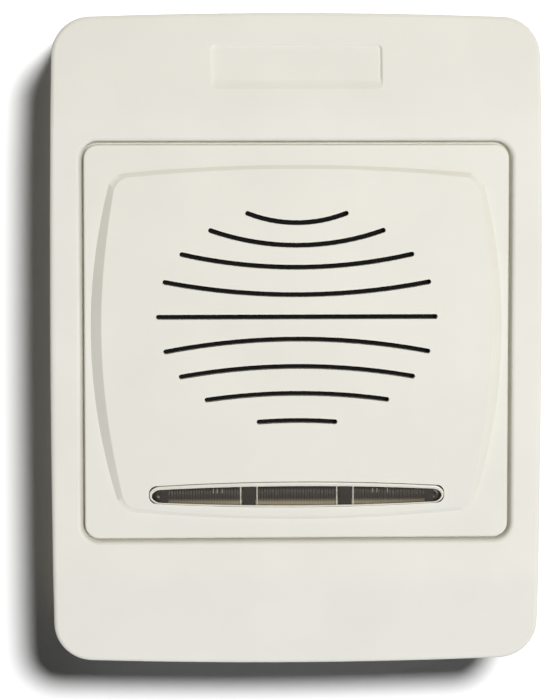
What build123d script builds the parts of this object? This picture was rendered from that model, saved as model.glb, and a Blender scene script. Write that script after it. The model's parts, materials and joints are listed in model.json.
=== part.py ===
"""Wall-mounted external sounder with a strobe lens, modelled as separate pieces in millimetres.

The wall is the XZ plane, the front looks along -Y and +Z is up. The origin is on the wall face,
behind the middle of the casing. A depth is a distance from the wall, so it is minus Y.
"""

import math
import os

from build123d import *

# Loudspeaker
speaker_diameter = 56.0
flange_width = 3.2
flange_thickness = 0.8
basket_height = 5.9
basket_wall = 0.6
basket_windows = 6
basket_window_margin = 1.6
basket_spoke_width = 4.0
basket_seat_inner = 12.0
top_plate_diameter = 29.0
top_plate_thickness = 1.5
magnet_diameter = 32.0
magnet_thickness = 5.0
magnet_bore = 18.0
yoke_diameter = 30.0
yoke_thickness = 2.0
pole_diameter = 13.0
coil_gap = 0.3
bobbin_wall = 0.15
winding_thickness = 0.4
winding_length = 2.6
cone_thickness = 0.35
surround_width = 3.0
surround_thickness = 0.2
surround_lap = 1.1
roll_radius = 1.0
spider_waves = 3
spider_wave_height = 0.6
spider_thickness = 0.2
motor_chamfer = 0.4
strip_length = 12.0
strip_width = 2.2
strip_margin = 0.1
strip_thickness = 0.8
tag_spread = 6.0
tag_length = 2.6
tag_width = 2.0
tag_thickness = 0.4
clamp_boss_offset = 2.6
clamp_boss_radius = 2.3
clamp_thickness = 1.0
clamp_lap = 1.6
clamp_corner_radius = 1.0
clamp_screw_radius = 1.0
clamp_screw_length = 3.6
clamp_screw_head_radius = 1.8
clamp_screw_head_height = 1.2
screw_slot_width = 0.6
screw_slot_depth = 0.6
dust_cap_diameter = 16.0
cap_rise = 2.2
neck_height = 2.0
spider_seat_gap = 0.1
post_hole_spare = 0.1
gasket_width = 2.0
gasket_thickness = 0.8
screen_thickness = 0.4

# Grille panel
side_space = 10.8
space_above_speaker = 3.35
grille_lens_gap = 0.9
cushion_bottom_margin = 3.4
cushion_top_margin = 3.75
cushion_height = 1.6
cushion_side_margin = 1.2
cushion_corner_margin = 5.1
cushion_bottom_corner_margin = 6.6
cushion_end_bow = 1.65
cushion_crest = 2.8
cushion_slope = 1.95
cushion_end_rise = 0.2
cushion_corner_radius = 3.4
cushion_edge_radius = 0.3
panel_thickness = 2.2
panel_corner_radius = 2.6
panel_edge_radius = 0.35
panel_gap = 0.35
screen_clearance = 0.1
pocket_wall = 2.2
slot_width = 0.9
slot_end_inset = 0.3
# Each slot: height of its middle above the speaker's axis, the angle whose cosine gives its half
# length as a share of the grille's radius, and how far its ends rise above its middle.
slots = [
    (17.15, 68.5, 1.70),
    (13.05, 51.0, 2.69),
    (9.05, 33.6, 2.34),
    (4.05, 17.6, 2.29),
    (0.0, 0.0, 0.0),
    (-4.05, 18.4, -2.27),
    (-9.05, 32.8, -1.87),
    (-14.0, 48.9, -1.17),
    (-19.0, 73.3, -0.26),
]

# Strobe lens, its light box and the lamp board
lens_length = 54.0
lens_height_middle = 4.6
lens_height_end = 3.0
lens_edge_radius = 1.3
lens_side_bow = 0.4
lens_proud = 0.25
lens_clearance = 0.1
lens_to_cushion_edge = 4.65
lens_flange_width = 0.6
lens_flange_thickness = 1.0
lens_wall = 1.1
lens_side_wall = 0.8
rib_pitch = 0.5
rib_depth = 0.4
rib_span_middle = 14.4
rib_span_side = 13.5
lens_leg_offset = 9.0
lens_leg_width = 2.0
lens_leg_height = 2.6
lens_leg_length = 2.6
shroud_wall = 0.9
shroud_overlap = 0.3
shroud_depth = 4.8
lamp_board_thickness = 1.0
lamp_board_length = 65.0
lamp_count = 6
lamp_pitch = 7.6
lamp_length = 3.5
lamp_width = 2.8
lamp_height = 1.4
lamp_dome_diameter = 2.2
lamp_dome_height = 0.8
lamp_screw_inset = 2.0
lamp_screw_radius = 0.9
lamp_screw_head_radius = 1.6
lamp_screw_head_height = 1.0
lamp_screw_length = 5.0
lamp_post_radius = 1.9

# Casing
rail_width = 5.85
top_band = 23.5
bottom_band = 23.3
casing_side_bow = 0.55
casing_end_bow = 0.95
casing_corner_radius = 7.1
casing_edge_radius = 0.8
cheek_width = 1.9
cheek_turn = 28.0
cheek_start = 3.0
cheek_overrun = 2.0
casing_wall = 2.2
casing_rim = 1.2
bend_above_middle = 41.0
bend_below_middle = 44.0
top_slope = 8.0
bottom_slope = 7.0
bend_radius = 30.0
window_bevel_width = 0.5
window_bevel_depth = 1.2
window_edge_radius = 0.8
ledge_width = 2.0
ledge_thickness = 1.6
label_width = 31.4
label_height = 8.2
label_below_top = 5.6
label_depth = 0.4
label_wall_run = 0.4
label_ramp_run = 1.6
label_corner_radius = 1.0
label_edge_radius = 0.15
label_overcut = 0.05
casing_boss_diameter = 6.4
casing_boss_inset = 8.4
shoulder_width = 2.4
seal_thickness = 1.0
seal_width = 1.8
seal_inset = 0.2
shoulder_thickness = 1.8
screw_hole_play = 0.05
boss_hole_spare = 0.6
rear_edge_relief = 1.0

# Snap hooks that hold the grille panel in the casing's window
snap_width = 6.0
snap_thickness = 1.2
snap_barb = 0.9
snap_height = 1.2
snap_clearance = 0.15
snap_spread = 44.0

# Back plate, its hooks and the lock screw
plate_thickness = 2.0
plate_clearance = 0.8
plate_upstand = 2.0
plate_upstand_width = 1.6
wiring_gap = 3.0
trunnion_radius = 1.1
trunnion_depth = 3.4
trunnion_length = 7.2
trunnion_spread = 42.0
trunnion_below_top = 5.5
ear_thickness = 1.6
ear_radius = 1.3
hook_wall = 1.15
hook_clearance = 0.1
hook_side_gap = 1.0
hook_leg = 2.0
gang_box_spacing = 83.3
round_box_spacing = 60.3
fixing_slot_width = 4.2
fixing_slot_length = 7.0
cable_hole_diameter = 13.0
grommet_bore = 9.0
grommet_lip = 1.6
grommet_lip_thickness = 0.8
grommet_play = 0.05
plate_web_at_grommet = 1.1
lock_screw_radius = 1.25
lock_screw_depth = 2.3
lock_screw_length = 5.2
lock_head_radius = 2.0
lock_head_height = 2.4
lock_socket_size = 2.0
lock_socket_depth = 1.4
lock_web = 1.4
lock_clearance = 0.3
lock_land = 6.0
lock_lug_height = 4.4
lock_lug_half = 5.0
lock_lug_recess = 0.3
thread_clearance = 0.05

# Rear cover
rear_cover_thickness = 1.8
rear_cover_clearance = 0.25
cover_screw_radius = 1.4
cover_screw_length = 12.0
cover_screw_head_radius = 2.7
cover_screw_cone = 1.3
screw_play = 0.05
standoff_diameter = 5.4

# Main board and what is on it
board_width = 70.0
board_height = 92.0
board_thickness = 1.6
board_corner_radius = 2.0
board_hole_inset = 3.5
board_screw_radius = 1.2
board_screw_length = 6.0
board_screw_head_radius = 2.3
board_screw_head_height = 1.5
board_speaker_gap = 1.6
low_part_height = 1.1
capacitor_diameter = 8.0
capacitor_height = 9.0
can_edge_radius = 0.8
low_can_inset = (10.0, 10.0)
high_can_inset = (11.0, 7.0)
choke_diameter = 9.0
choke_height = 6.0
choke_base = 1.0
choke_inset = (11.0, 7.0)
amplifier_place = (-14.0, -24.0)
amplifier_size = (10.0, 4.0)
controller_inset = (21.0, 17.0)
controller_size = (5.0, 5.0)
chip_lead_pitch = 1.27
chip_lead_width = 0.4
chip_lead_reach = 1.0
small_part_grids = [(0.0, 28.0), (26.0, 20.0), (-26.0, -18.0), (26.0, -20.0), (-6.0, 12.0)]
small_part_pitch = 3.2
small_part_length = 2.0
small_part_width = 1.25
small_part_height = 0.6
speaker_header_inset = 6.0
lamp_header_inset = 13.0
header_width = 7.4
header_depth = 5.8
header_height = 6.0
header_wall = 0.8
header_floor = 1.0
header_clearance = 0.1
plug_rise = 1.6
pin_pitch = 2.5
pin_size = 0.6
wire_diameter = 1.1
wire_bend = 1.6
plug_wire_reach = 2.0
lamp_wire_spread = 20.0

# Terminal block on the board's rear face
ways = 6
way_pitch = 5.0
block_end_wall = 0.5
block_height = 9.5
block_body = 8.4
block_floor = 0.6
block_chamfer = 0.4
chamber_wall = 1.2
chamber_gap = 0.4
shank_play = 0.3
block_above_board_edge = 6.0
terminal_screw_radius = 1.25
terminal_head_radius = 1.75
terminal_head_height = 1.2
terminal_head_inset = 0.3
terminal_funnel_play = 0.2
clamp_width = 3.6
clamp_length = 4.2
clamp_height = 5.0
clamp_side = 0.5
clamp_thread_wall = 1.2
clamp_jaw = 0.6
clamp_travel = 1.4
clamp_play = 0.15
tongue_width = 2.2
tongue_thickness = 0.6
tongue_gap = 0.15
screw_tip_gap = 0.1
tongue_leg_gap = 0.1
solder_pin_radius = 0.5
solder_pin_reach = 1.0
entry_width = 3.0
wire_space = 17.0
block_window_play = 0.8

# Tamper switch that senses the wall
plunger_travel = 1.9
plunger_radius = 1.7
plunger_flange_radius = 2.6
plunger_flange_thickness = 0.8
plunger_stem_radius = 0.8
plunger_wall_gap = 0.15
plunger_tip_radius = 0.8
plunger_play = 0.08
plunger_plate_play = 1.2
tamper_place = (24.0, -14.0)
spring_pressed_length = 1.5
spring_wire = 0.35
spring_turns = 2.75
spring_radius = 1.9
switch_height = 3.0
switch_size = 6.4
stem_play = 0.08
spring_seat_depth = 1.2
spring_seat_radius = 2.5

# Heights in Z and half sizes that follow
speaker_radius = speaker_diameter / 2
shroud_half = lens_height_middle / 2 + lens_flange_width + shroud_wall
panel_width = speaker_diameter + 2 * side_space
panel_below_lens = cushion_bottom_margin + lens_to_cushion_edge
panel_height = (
    panel_below_lens + shroud_half + grille_lens_gap + speaker_diameter + space_above_speaker
)
body_width = panel_width + 2 * (panel_gap + rail_width)
body_height = panel_height + 2 * panel_gap + top_band + bottom_band
panel_bottom = bottom_band + panel_gap - body_height / 2
panel_z = panel_bottom + panel_height / 2
lens_z = panel_bottom + panel_below_lens
speaker_z = lens_z + shroud_half + grille_lens_gap + speaker_radius

# Depths from the wall that follow, from the back to the front
cover_rear = plate_thickness + wiring_gap
cover_front = cover_rear + rear_cover_thickness
shoulder_rear = cover_front + seal_thickness
plunger_flange_rear = cover_front + plunger_travel
switch_rear = plunger_flange_rear + plunger_flange_thickness + spring_pressed_length
board_rear = switch_rear + switch_height
board_front = board_rear + board_thickness
yoke_rear = board_front + board_speaker_gap
magnet_rear = yoke_rear + yoke_thickness
top_plate_rear = magnet_rear + magnet_thickness
top_plate_front = top_plate_rear + top_plate_thickness
flange_front = top_plate_front + basket_height
flange_rear = flange_front - flange_thickness
panel_rear = flange_front + gasket_thickness
panel_face = panel_rear + panel_thickness
cushion_face = panel_face + cushion_height
crown_sagitta = cushion_height - cushion_end_rise
crown_radius = ((panel_height / 2) ** 2 + crown_sagitta**2) / (2 * crown_sagitta)
cushion_at_lens = cushion_face - crown_radius + math.sqrt(crown_radius**2 - (lens_z - panel_z) ** 2)
screen_front = cushion_face - pocket_wall
pocket_radius = speaker_radius - gasket_width
grille_radius = pocket_radius - slot_end_inset
lamp_board_front = panel_rear - shroud_depth
lamp_board_rear = lamp_board_front - lamp_board_thickness
ledge_rear = panel_rear - ledge_thickness
cavity_front = panel_face - casing_wall
trunnion_z = body_height / 2 - trunnion_below_top
board_z = 0.0
block_rear = board_rear - block_height
board_side = board_width / 2
board_top = board_z + board_height / 2
board_bottom = board_z - board_height / 2
capacitor_places = [
    (low_can_inset[0] - board_side, board_bottom + low_can_inset[1]),
    (board_side - low_can_inset[0], board_bottom + low_can_inset[1]),
    (board_side - high_can_inset[0], board_top - high_can_inset[1]),
]
controller_place = (board_side - controller_inset[0], board_top - controller_inset[1])
choke_place = (choke_inset[0] - board_side, board_top - choke_inset[1])
speaker_header_place = (0.0, board_top - speaker_header_inset)
lamp_header_place = (0.0, board_bottom + lamp_header_inset)
block_z = board_bottom + block_above_board_edge
cable_z = block_z + (block_body + wire_space) / 2
pole_radius = pole_diameter / 2
bobbin_radius = pole_radius + coil_gap
coil_outer = bobbin_radius + bobbin_wall + winding_thickness


def at_depth(depth):
    """Plane parallel to the wall at a depth, with X to the right and Z up, facing the front."""
    return Plane.XZ.offset(depth)


def axial_plane(x, z):
    """Plane through the depth-wise axis at x, z. Its first coordinate is a radius and its second a depth."""
    return Plane(origin=(x, 0, z), x_dir=(1, 0, 0), z_dir=(0, 0, -1))


def axial_axis(x, z):
    """Axis along the depth at x, z."""
    return Axis((x, 0, z), (0, -1, 0))


def bowed_outline(width, height, side_bow, end_bow, radius):
    """Outline with sides and ends that bow outward and round corners, centred on the origin."""
    x = width / 2 - side_bow
    y = height / 2 - end_bow
    with BuildSketch() as outline:
        with BuildLine():
            ThreePointArc((-x, -y), (0, -height / 2), (x, -y))
            ThreePointArc((x, -y), (width / 2, 0), (x, y))
            ThreePointArc((x, y), (0, height / 2), (-x, y))
            ThreePointArc((-x, y), (-width / 2, 0), (-x, -y))
        make_face()
        fillet(outline.vertices(), radius)
    return outline.sketch


def casing_outline(inset):
    """The casing's outline on the wall, moved inward by inset."""
    return bowed_outline(
        body_width - 2 * inset,
        body_height - 2 * inset,
        casing_side_bow,
        casing_end_bow,
        casing_corner_radius - inset,
    )


def casing_block(inset, rear, face):
    """Solid inside the casing's outline from depth rear to a front that slopes back at top and bottom."""
    half = body_height / 2
    top_drop = (half - bend_above_middle) * math.tan(math.radians(top_slope))
    bottom_drop = (half - bend_below_middle) * math.tan(math.radians(bottom_slope))
    with BuildPart() as block:
        with BuildSketch(at_depth(rear)):
            add(casing_outline(inset))
        extrude(amount=face - rear)
        with BuildSketch(Plane.YZ) as profile:
            with BuildLine():
                Polyline(
                    (-rear, -half),
                    (-rear, half),
                    (top_drop - face, half),
                    (-face, bend_above_middle),
                    (-face, -bend_below_middle),
                    (bottom_drop - face, -half),
                    close=True,
                )
            make_face()
            bends = profile.vertices().filter_by_position(Axis.X, -face - 0.01, -face + 0.01)
            fillet(bends, bend_radius)
        extrude(amount=body_width, both=True, mode=Mode.INTERSECT)
    return block.part


def front_line(face):
    """Line that the casing's front follows from top to bottom, run past both ends."""
    end = body_height / 2 + cheek_overrun
    top_drop = (end - bend_above_middle) * math.tan(math.radians(top_slope))
    bottom_drop = (end - bend_below_middle) * math.tan(math.radians(bottom_slope))
    with BuildLine(Plane.YZ) as line:
        FilletPolyline(
            (top_drop - face, end),
            (-face, bend_above_middle),
            (-face, -bend_below_middle),
            (bottom_drop - face, -end),
            radius=bend_radius,
        )
    return line.wire()


def cheek_cut(side, face):
    """What the curved cheek takes off one long edge of the casing's front. side is -1 or 1."""
    path = front_line(face)
    start, turn = math.radians(cheek_start), math.radians(cheek_turn)
    radius = cheek_width / (math.sin(turn) - math.sin(start))
    centre_x = body_width / 2 - radius * math.sin(turn)
    centre_y = -radius * math.cos(start)
    past = math.radians(cheek_turn + cheek_start)
    places = [
        (side * (centre_x + radius * math.sin(angle)), centre_y + radius * math.cos(angle))
        for angle in (0.0, past / 2, past)
    ]
    with BuildPart() as cut:
        with BuildSketch(Plane(origin=path @ 0, x_dir=(1, 0, 0), z_dir=path % 0)):
            with BuildLine():
                ThreePointArc(*places)
                Polyline(places[2], (places[2][0], cheek_width), (places[0][0], cheek_width), places[0])
            make_face()
        sweep(path=path)
    return cut.part


os.makedirs("parts", exist_ok=True)

# Sizes shared by the casing, the panel and the rear parts
window_width = panel_width + 2 * panel_gap
window_height = panel_height + 2 * panel_gap
window_radius = panel_corner_radius + panel_gap
bevel_width = window_width + 2 * window_bevel_width
bevel_height = window_height + 2 * window_bevel_width
boss_x = body_width / 2 - casing_boss_inset
boss_z = body_height / 2 - casing_boss_inset - casing_end_bow
boss_places = [(x, z) for x in (-boss_x, boss_x) for z in (-boss_z, boss_z)]
land_front = cover_rear - lock_clearance
web_bottom = lock_head_height + lock_lug_recess / 2 - body_height / 2
web_top = web_bottom + lock_web
lug_bottom = web_top + lock_clearance
slope_angle = math.tan(math.radians(top_slope))
label_top = body_height / 2 - label_below_top
label_bottom = label_top - label_height
label_middle = (label_top + label_bottom) / 2
label_front = panel_face - (label_middle - bend_above_middle) * slope_angle
label_plane = Plane(
    origin=(0, -label_front, label_middle), x_dir=(1, 0, 0), z_dir=(0, -1, slope_angle)
)
snap_x = window_width / 2 - ledge_width - snap_clearance

# Casing: the front shell with its window, ledge, bosses, bare label recess and lock notch
with BuildPart() as casing:
    add(casing_block(0, casing_rim, panel_face))
    front_rim = casing.edges().filter_by(
        lambda edge: edge.center().Y < -casing_rim - panel_face / 2
        and edge.distance_to(Vector(0, -panel_face, 0)) > body_width / 2 - casing_wall
    )
    fillet(front_rim, casing_edge_radius)
    for side in (-1, 1):
        add(cheek_cut(side, panel_face), mode=Mode.SUBTRACT)
    add(casing_block(casing_wall, casing_rim, cavity_front), mode=Mode.SUBTRACT)
    # frame behind the window that the panel's border lies on
    with BuildSketch(at_depth(ledge_rear)):
        with Locations((0, panel_z)):
            RectangleRounded(
                window_width + 2 * ledge_width, window_height + 2 * ledge_width, window_radius + ledge_width
            )
    extrude(amount=ledge_thickness + panel_thickness / 2)
    # round bosses for the rear cover's screws
    with BuildSketch(at_depth(cover_front)):
        with Locations(*boss_places):
            Circle(casing_boss_diameter / 2)
    extrude(amount=cavity_front - cover_front)
    # shoulder that the rear cover's seal lies on
    with BuildSketch(at_depth(shoulder_rear)):
        add(casing_outline(casing_wall / 2))
        add(casing_outline(casing_wall + shoulder_width), mode=Mode.SUBTRACT)
    extrude(amount=shoulder_thickness)
    # land for the lock screw inside the bottom wall
    with BuildSketch(Plane.XY.offset(casing_wall / 2 - body_height / 2)):
        with Locations((0, -(casing_rim + land_front) / 2)):
            Rectangle(2 * lock_land, land_front - casing_rim)
    extrude(amount=web_top - casing_wall / 2 + body_height / 2)
    # window for the panel and the opening inside the ledge
    with BuildSketch(at_depth(panel_rear)):
        with Locations((0, panel_z)):
            RectangleRounded(window_width, window_height, window_radius)
    extrude(amount=2 * panel_thickness, mode=Mode.SUBTRACT)
    with BuildSketch(at_depth(ledge_rear)):
        with Locations((0, panel_z)):
            RectangleRounded(window_width - 2 * ledge_width, window_height - 2 * ledge_width, window_radius)
    extrude(amount=2 * ledge_thickness, mode=Mode.SUBTRACT)
    # bevel round the window
    with BuildSketch(at_depth(panel_face - window_bevel_depth)):
        with Locations((0, panel_z)):
            RectangleRounded(window_width, window_height, window_radius)
    with BuildSketch(at_depth(panel_face)):
        with Locations((0, panel_z)):
            RectangleRounded(bevel_width, bevel_height, window_radius + window_bevel_width)
    loft(ruled=True, mode=Mode.SUBTRACT)
    window_rim = casing.edges().filter_by_position(Axis.Y, -panel_face - 0.01, 0.01 - panel_face)
    window_rim = window_rim.filter_by(
        lambda edge: abs(edge.center().X) < bevel_width / 2 + 0.1
        and abs(edge.center().Z - panel_z) < bevel_height / 2 + 0.1
    )
    fillet(window_rim, window_edge_radius)
    # shallow recess in the top band, where a label would go: sloped walls and a long ramp below
    for height in (-label_depth, label_overcut):
        wall_shift = label_wall_run * height / label_depth
        ramp_shift = label_ramp_run * height / label_depth
        with BuildSketch(label_plane.offset(height)):
            with Locations((0, (wall_shift - ramp_shift) / 2)):
                RectangleRounded(
                    label_width + 2 * wall_shift,
                    label_height + wall_shift + ramp_shift,
                    label_corner_radius + wall_shift,
                )
    loft(ruled=True, mode=Mode.SUBTRACT)
    label_rim = casing.edges(Select.LAST).filter_by(
        lambda edge: abs(label_plane.to_local_coords(edge.center()).Z) < label_overcut / 10
    )
    fillet(label_rim, label_edge_radius)
    # pilot holes in the bosses
    with BuildSketch(at_depth(cover_front)):
        with Locations(*boss_places):
            Circle(cover_screw_radius + screw_hole_play)
    extrude(amount=cover_screw_length - rear_cover_thickness + boss_hole_spare, mode=Mode.SUBTRACT)
    # rear-open slots for the lock screw's head and shank
    for slot_half, slot_bottom, slot_height in (
        (lock_head_radius + lock_clearance, web_bottom - 2 * lock_head_height, 2 * lock_head_height),
        (lock_screw_radius + lock_clearance, web_bottom, 2 * lock_web),
    ):
        with BuildSketch(Plane.XY.offset(slot_bottom)):
            with Locations((0, -lock_screw_depth)):
                Circle(slot_half)
            with Locations((0, -lock_screw_depth / 2)):
                Rectangle(2 * slot_half, lock_screw_depth)
        extrude(amount=slot_height, mode=Mode.SUBTRACT)
    # relief of the top rear edge, so that it clears the wall when the sounder hinges outward
    with BuildSketch(Plane.YZ):
        with BuildLine():
            Polyline(
                (-casing_rim, body_height / 2 - rear_edge_relief),
                (-casing_rim - rear_edge_relief, body_height / 2),
                (-casing_rim - rear_edge_relief, body_height / 2 + rear_edge_relief),
                (rear_edge_relief - casing_rim, body_height / 2 + rear_edge_relief),
                (rear_edge_relief - casing_rim, body_height / 2 - 2 * rear_edge_relief),
                close=True,
            )
        make_face()
    extrude(amount=body_width, both=True, mode=Mode.SUBTRACT)
casing.part.label = "casing"
export_step(casing.part, "parts/casing.step")


def cushion_outline(side_margin, corner_margin, bottom_corner_margin, end_inset):
    """Outline of the raised cushion: sides that bulge at the crest, ends that bow a little."""
    x = panel_width / 2
    top = panel_z + panel_height / 2 - cushion_top_margin - end_inset
    bottom = panel_z - panel_height / 2 + cushion_bottom_margin + end_inset
    top_corner = (x - corner_margin, top - cushion_end_bow)
    bottom_corner = (x - bottom_corner_margin, bottom + cushion_end_bow)
    crest = (x - side_margin, panel_z + cushion_crest)
    with BuildSketch() as outline:
        with BuildLine():
            ThreePointArc((-bottom_corner[0], bottom_corner[1]), (0, bottom), bottom_corner)
            ThreePointArc(bottom_corner, crest, top_corner)
            ThreePointArc(top_corner, (0, top), (-top_corner[0], top_corner[1]))
            ThreePointArc(
                (-top_corner[0], top_corner[1]), (-crest[0], crest[1]), (-bottom_corner[0], bottom_corner[1])
            )
        make_face()
        fillet(outline.vertices(), cushion_corner_radius)
    return outline.sketch


def lens_outline(growth):
    """The lens's outline, grown outward by growth: long, low, highest in its middle."""
    return bowed_outline(
        lens_length + 2 * growth,
        lens_height_middle + 2 * growth,
        lens_side_bow,
        (lens_height_middle - lens_height_end) / 2,
        lens_edge_radius + growth,
    )


clamp_reach = speaker_radius + clamp_boss_offset
clamp_places = [
    (clamp_reach * math.cos(math.radians(angle)), speaker_z + clamp_reach * math.sin(math.radians(angle)))
    for angle in (45, 135, 225, 315)
]
lamp_screw_x = lamp_board_length / 2 - lamp_screw_inset

# Grille panel: border, raised cushion, nine slots, lens opening, screen pocket, posts and snaps
with BuildPart() as grille_panel:
    with BuildSketch(at_depth(panel_rear)):
        with Locations((0, panel_z)):
            RectangleRounded(panel_width, panel_height, panel_corner_radius)
    extrude(amount=panel_thickness)
    border = grille_panel.edges().filter_by_position(Axis.Y, -panel_face - 0.01, 0.01 - panel_face)
    fillet(border, panel_edge_radius)
    with BuildSketch(at_depth(panel_face)):
        add(
            cushion_outline(
                cushion_side_margin, cushion_corner_margin, cushion_bottom_corner_margin, 0
            )
        )
    with BuildSketch(at_depth(cushion_face)):
        add(
            cushion_outline(
                cushion_side_margin + cushion_slope,
                cushion_corner_margin + cushion_slope,
                cushion_bottom_corner_margin + cushion_slope,
                cushion_slope,
            )
        )
    loft(ruled=True)
    # the cushion's front is a crown: an arc from end to end, highest at the panel's middle
    with BuildSketch(Plane.YZ):
        with BuildLine():
            ThreePointArc(
                (-panel_face - cushion_end_rise, panel_z - panel_height / 2),
                (-cushion_face, panel_z),
                (-panel_face - cushion_end_rise, panel_z + panel_height / 2),
            )
            Polyline(
                (-panel_face - cushion_end_rise, panel_z + panel_height / 2),
                (-cushion_face - cushion_height, panel_z + panel_height / 2),
                (-cushion_face - cushion_height, panel_z - panel_height / 2),
                (-panel_face - cushion_end_rise, panel_z - panel_height / 2),
            )
        make_face()
    extrude(amount=panel_width / 2, both=True, mode=Mode.SUBTRACT)
    crown = grille_panel.faces().sort_by(Axis.Y)[0]
    fillet(crown.edges(), cushion_edge_radius)
    # pocket for the dust screen
    with BuildSketch(at_depth(panel_rear)):
        with Locations((0, speaker_z)):
            Circle(pocket_radius)
    extrude(amount=screen_front - panel_rear, mode=Mode.SUBTRACT)
    # sound slots
    with BuildSketch(at_depth(screen_front)):
        for middle, angle, rise in slots:
            half = grille_radius * math.cos(math.radians(angle)) - slot_width / 2
            height = speaker_z + middle
            if rise:
                with BuildLine(mode=Mode.PRIVATE) as slot_line:
                    ThreePointArc((-half, height + rise), (0, height), (half, height + rise))
                SlotArc(slot_line.edges()[0], slot_width)
            else:
                with Locations((0, height)):
                    SlotCenterToCenter(2 * half, slot_width)
    extrude(amount=2 * pocket_wall, mode=Mode.SUBTRACT)
    # opening for the lens, a seat for its flange and a bevel in front
    with BuildSketch(at_depth(panel_rear)):
        with Locations((0, lens_z)):
            add(lens_outline(lens_clearance))
    extrude(amount=2 * pocket_wall + cushion_height, mode=Mode.SUBTRACT)
    with BuildSketch(at_depth(panel_rear)):
        with Locations((0, lens_z)):
            add(lens_outline(lens_clearance + lens_flange_width))
    extrude(amount=lens_flange_thickness, mode=Mode.SUBTRACT)
    # posts for the lamp board and for the speaker's clamps
    with BuildSketch(at_depth(lamp_board_front)):
        with Locations((-lamp_screw_x, lens_z), (lamp_screw_x, lens_z)):
            Circle(lamp_post_radius)
    extrude(amount=shroud_depth + panel_thickness / 2)
    with BuildSketch(at_depth(flange_rear)):
        with Locations(*clamp_places):
            Circle(clamp_boss_radius)
    extrude(amount=panel_rear - flange_rear + panel_thickness / 2)
    with BuildSketch(at_depth(lamp_board_front)):
        with Locations((-lamp_screw_x, lens_z), (lamp_screw_x, lens_z)):
            Circle(lamp_screw_radius + screw_hole_play)
    extrude(amount=lamp_screw_length, mode=Mode.SUBTRACT)
    with BuildSketch(at_depth(flange_rear)):
        with Locations(*clamp_places):
            Circle(clamp_screw_radius + screw_hole_play)
    extrude(amount=clamp_screw_length - clamp_thickness + post_hole_spare, mode=Mode.SUBTRACT)
    # four snap hooks that pass the casing's ledge and catch behind it
    for side in (-1, 1):
        for row in (-1, 1):
            with BuildSketch(Plane.XY.offset(panel_z + row * snap_spread / 2 - snap_width / 2)):
                with BuildLine():
                    Polyline(
                        (side * snap_x, -panel_rear - panel_thickness / 2),
                        (side * (snap_x - snap_thickness), -panel_rear - panel_thickness / 2),
                        (side * (snap_x - snap_thickness), snap_clearance + snap_height - ledge_rear),
                        (side * snap_x, snap_clearance + snap_height - ledge_rear),
                        (side * (snap_x + snap_barb), snap_clearance - ledge_rear),
                        (side * snap_x, snap_clearance - ledge_rear),
                        close=True,
                    )
                make_face()
            extrude(amount=snap_width)
grille_panel.part.label = "grille_panel"
export_step(grille_panel.part, "parts/grille_panel.step")

# Dust screen behind the slots
with BuildPart() as dust_screen:
    with BuildSketch(at_depth(screen_front - screen_thickness)):
        with Locations((0, speaker_z)):
            Circle(pocket_radius - screen_clearance)
    extrude(amount=screen_thickness)
dust_screen.part.label = "dust_screen"
export_step(dust_screen.part, "parts/dust_screen.step")

# Strobe lens: flange, hollow body with fine ribs inside and two locating legs
lens_front = cushion_at_lens + lens_proud
lens_floor = lens_front - lens_wall
rib_areas = [
    (0, rib_span_middle),
    (-(rib_span_middle + rib_span_side) / 2 - lens_leg_width, rib_span_side),
    ((rib_span_middle + rib_span_side) / 2 + lens_leg_width, rib_span_side),
]
with BuildPart() as strobe_lens:
    with BuildSketch(at_depth(panel_rear)):
        with Locations((0, lens_z)):
            add(lens_outline(lens_flange_width))
    extrude(amount=lens_flange_thickness)
    with BuildSketch(at_depth(panel_rear)):
        with Locations((0, lens_z)):
            add(lens_outline(0))
    extrude(amount=lens_front - panel_rear)
    lens_rim = strobe_lens.edges().filter_by_position(Axis.Y, -lens_front - 0.01, 0.01 - lens_front)
    fillet(lens_rim, lens_proud)
    with BuildSketch(at_depth(panel_rear)):
        with Locations((0, lens_z)):
            add(lens_outline(-lens_side_wall))
    extrude(amount=lens_floor - panel_rear, mode=Mode.SUBTRACT)
    # ribs that spread the flash, cut into the inner face of the front wall
    rib_half_height = lens_height_end / 2 - lens_side_wall
    for middle, span in rib_areas:
        count = int(span / rib_pitch)
        first = middle - count * rib_pitch / 2
        points = [(first, -lens_floor)]
        for index in range(count):
            points.append((first + (index + 0.5) * rib_pitch, -lens_floor - rib_depth))
            points.append((first + (index + 1) * rib_pitch, -lens_floor))
        points.append((first + count * rib_pitch, rib_depth - lens_floor))
        points.append((first, rib_depth - lens_floor))
        with BuildSketch(Plane.XY.offset(lens_z - rib_half_height)):
            with BuildLine():
                Polyline(*points, close=True)
            make_face()
        extrude(amount=2 * rib_half_height, mode=Mode.SUBTRACT)
    with BuildSketch(at_depth(lens_floor - lens_leg_length)):
        with Locations((-lens_leg_offset, lens_z), (lens_leg_offset, lens_z)):
            Rectangle(lens_leg_width, lens_leg_height)
    extrude(amount=lens_leg_length + lens_wall / 2)
strobe_lens.part.label = "strobe_lens"
export_step(strobe_lens.part, "parts/strobe_lens.step")

# Light shroud: dark box between the lamp board and the lens
with BuildPart() as light_shroud:
    with BuildSketch(at_depth(lamp_board_front)):
        with Locations((0, lens_z)):
            add(lens_outline(lens_flange_width + shroud_wall))
            add(lens_outline(lens_flange_width - shroud_overlap), mode=Mode.SUBTRACT)
    extrude(amount=shroud_depth)
light_shroud.part.label = "light_shroud"
export_step(light_shroud.part, "parts/light_shroud.step")

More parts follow.
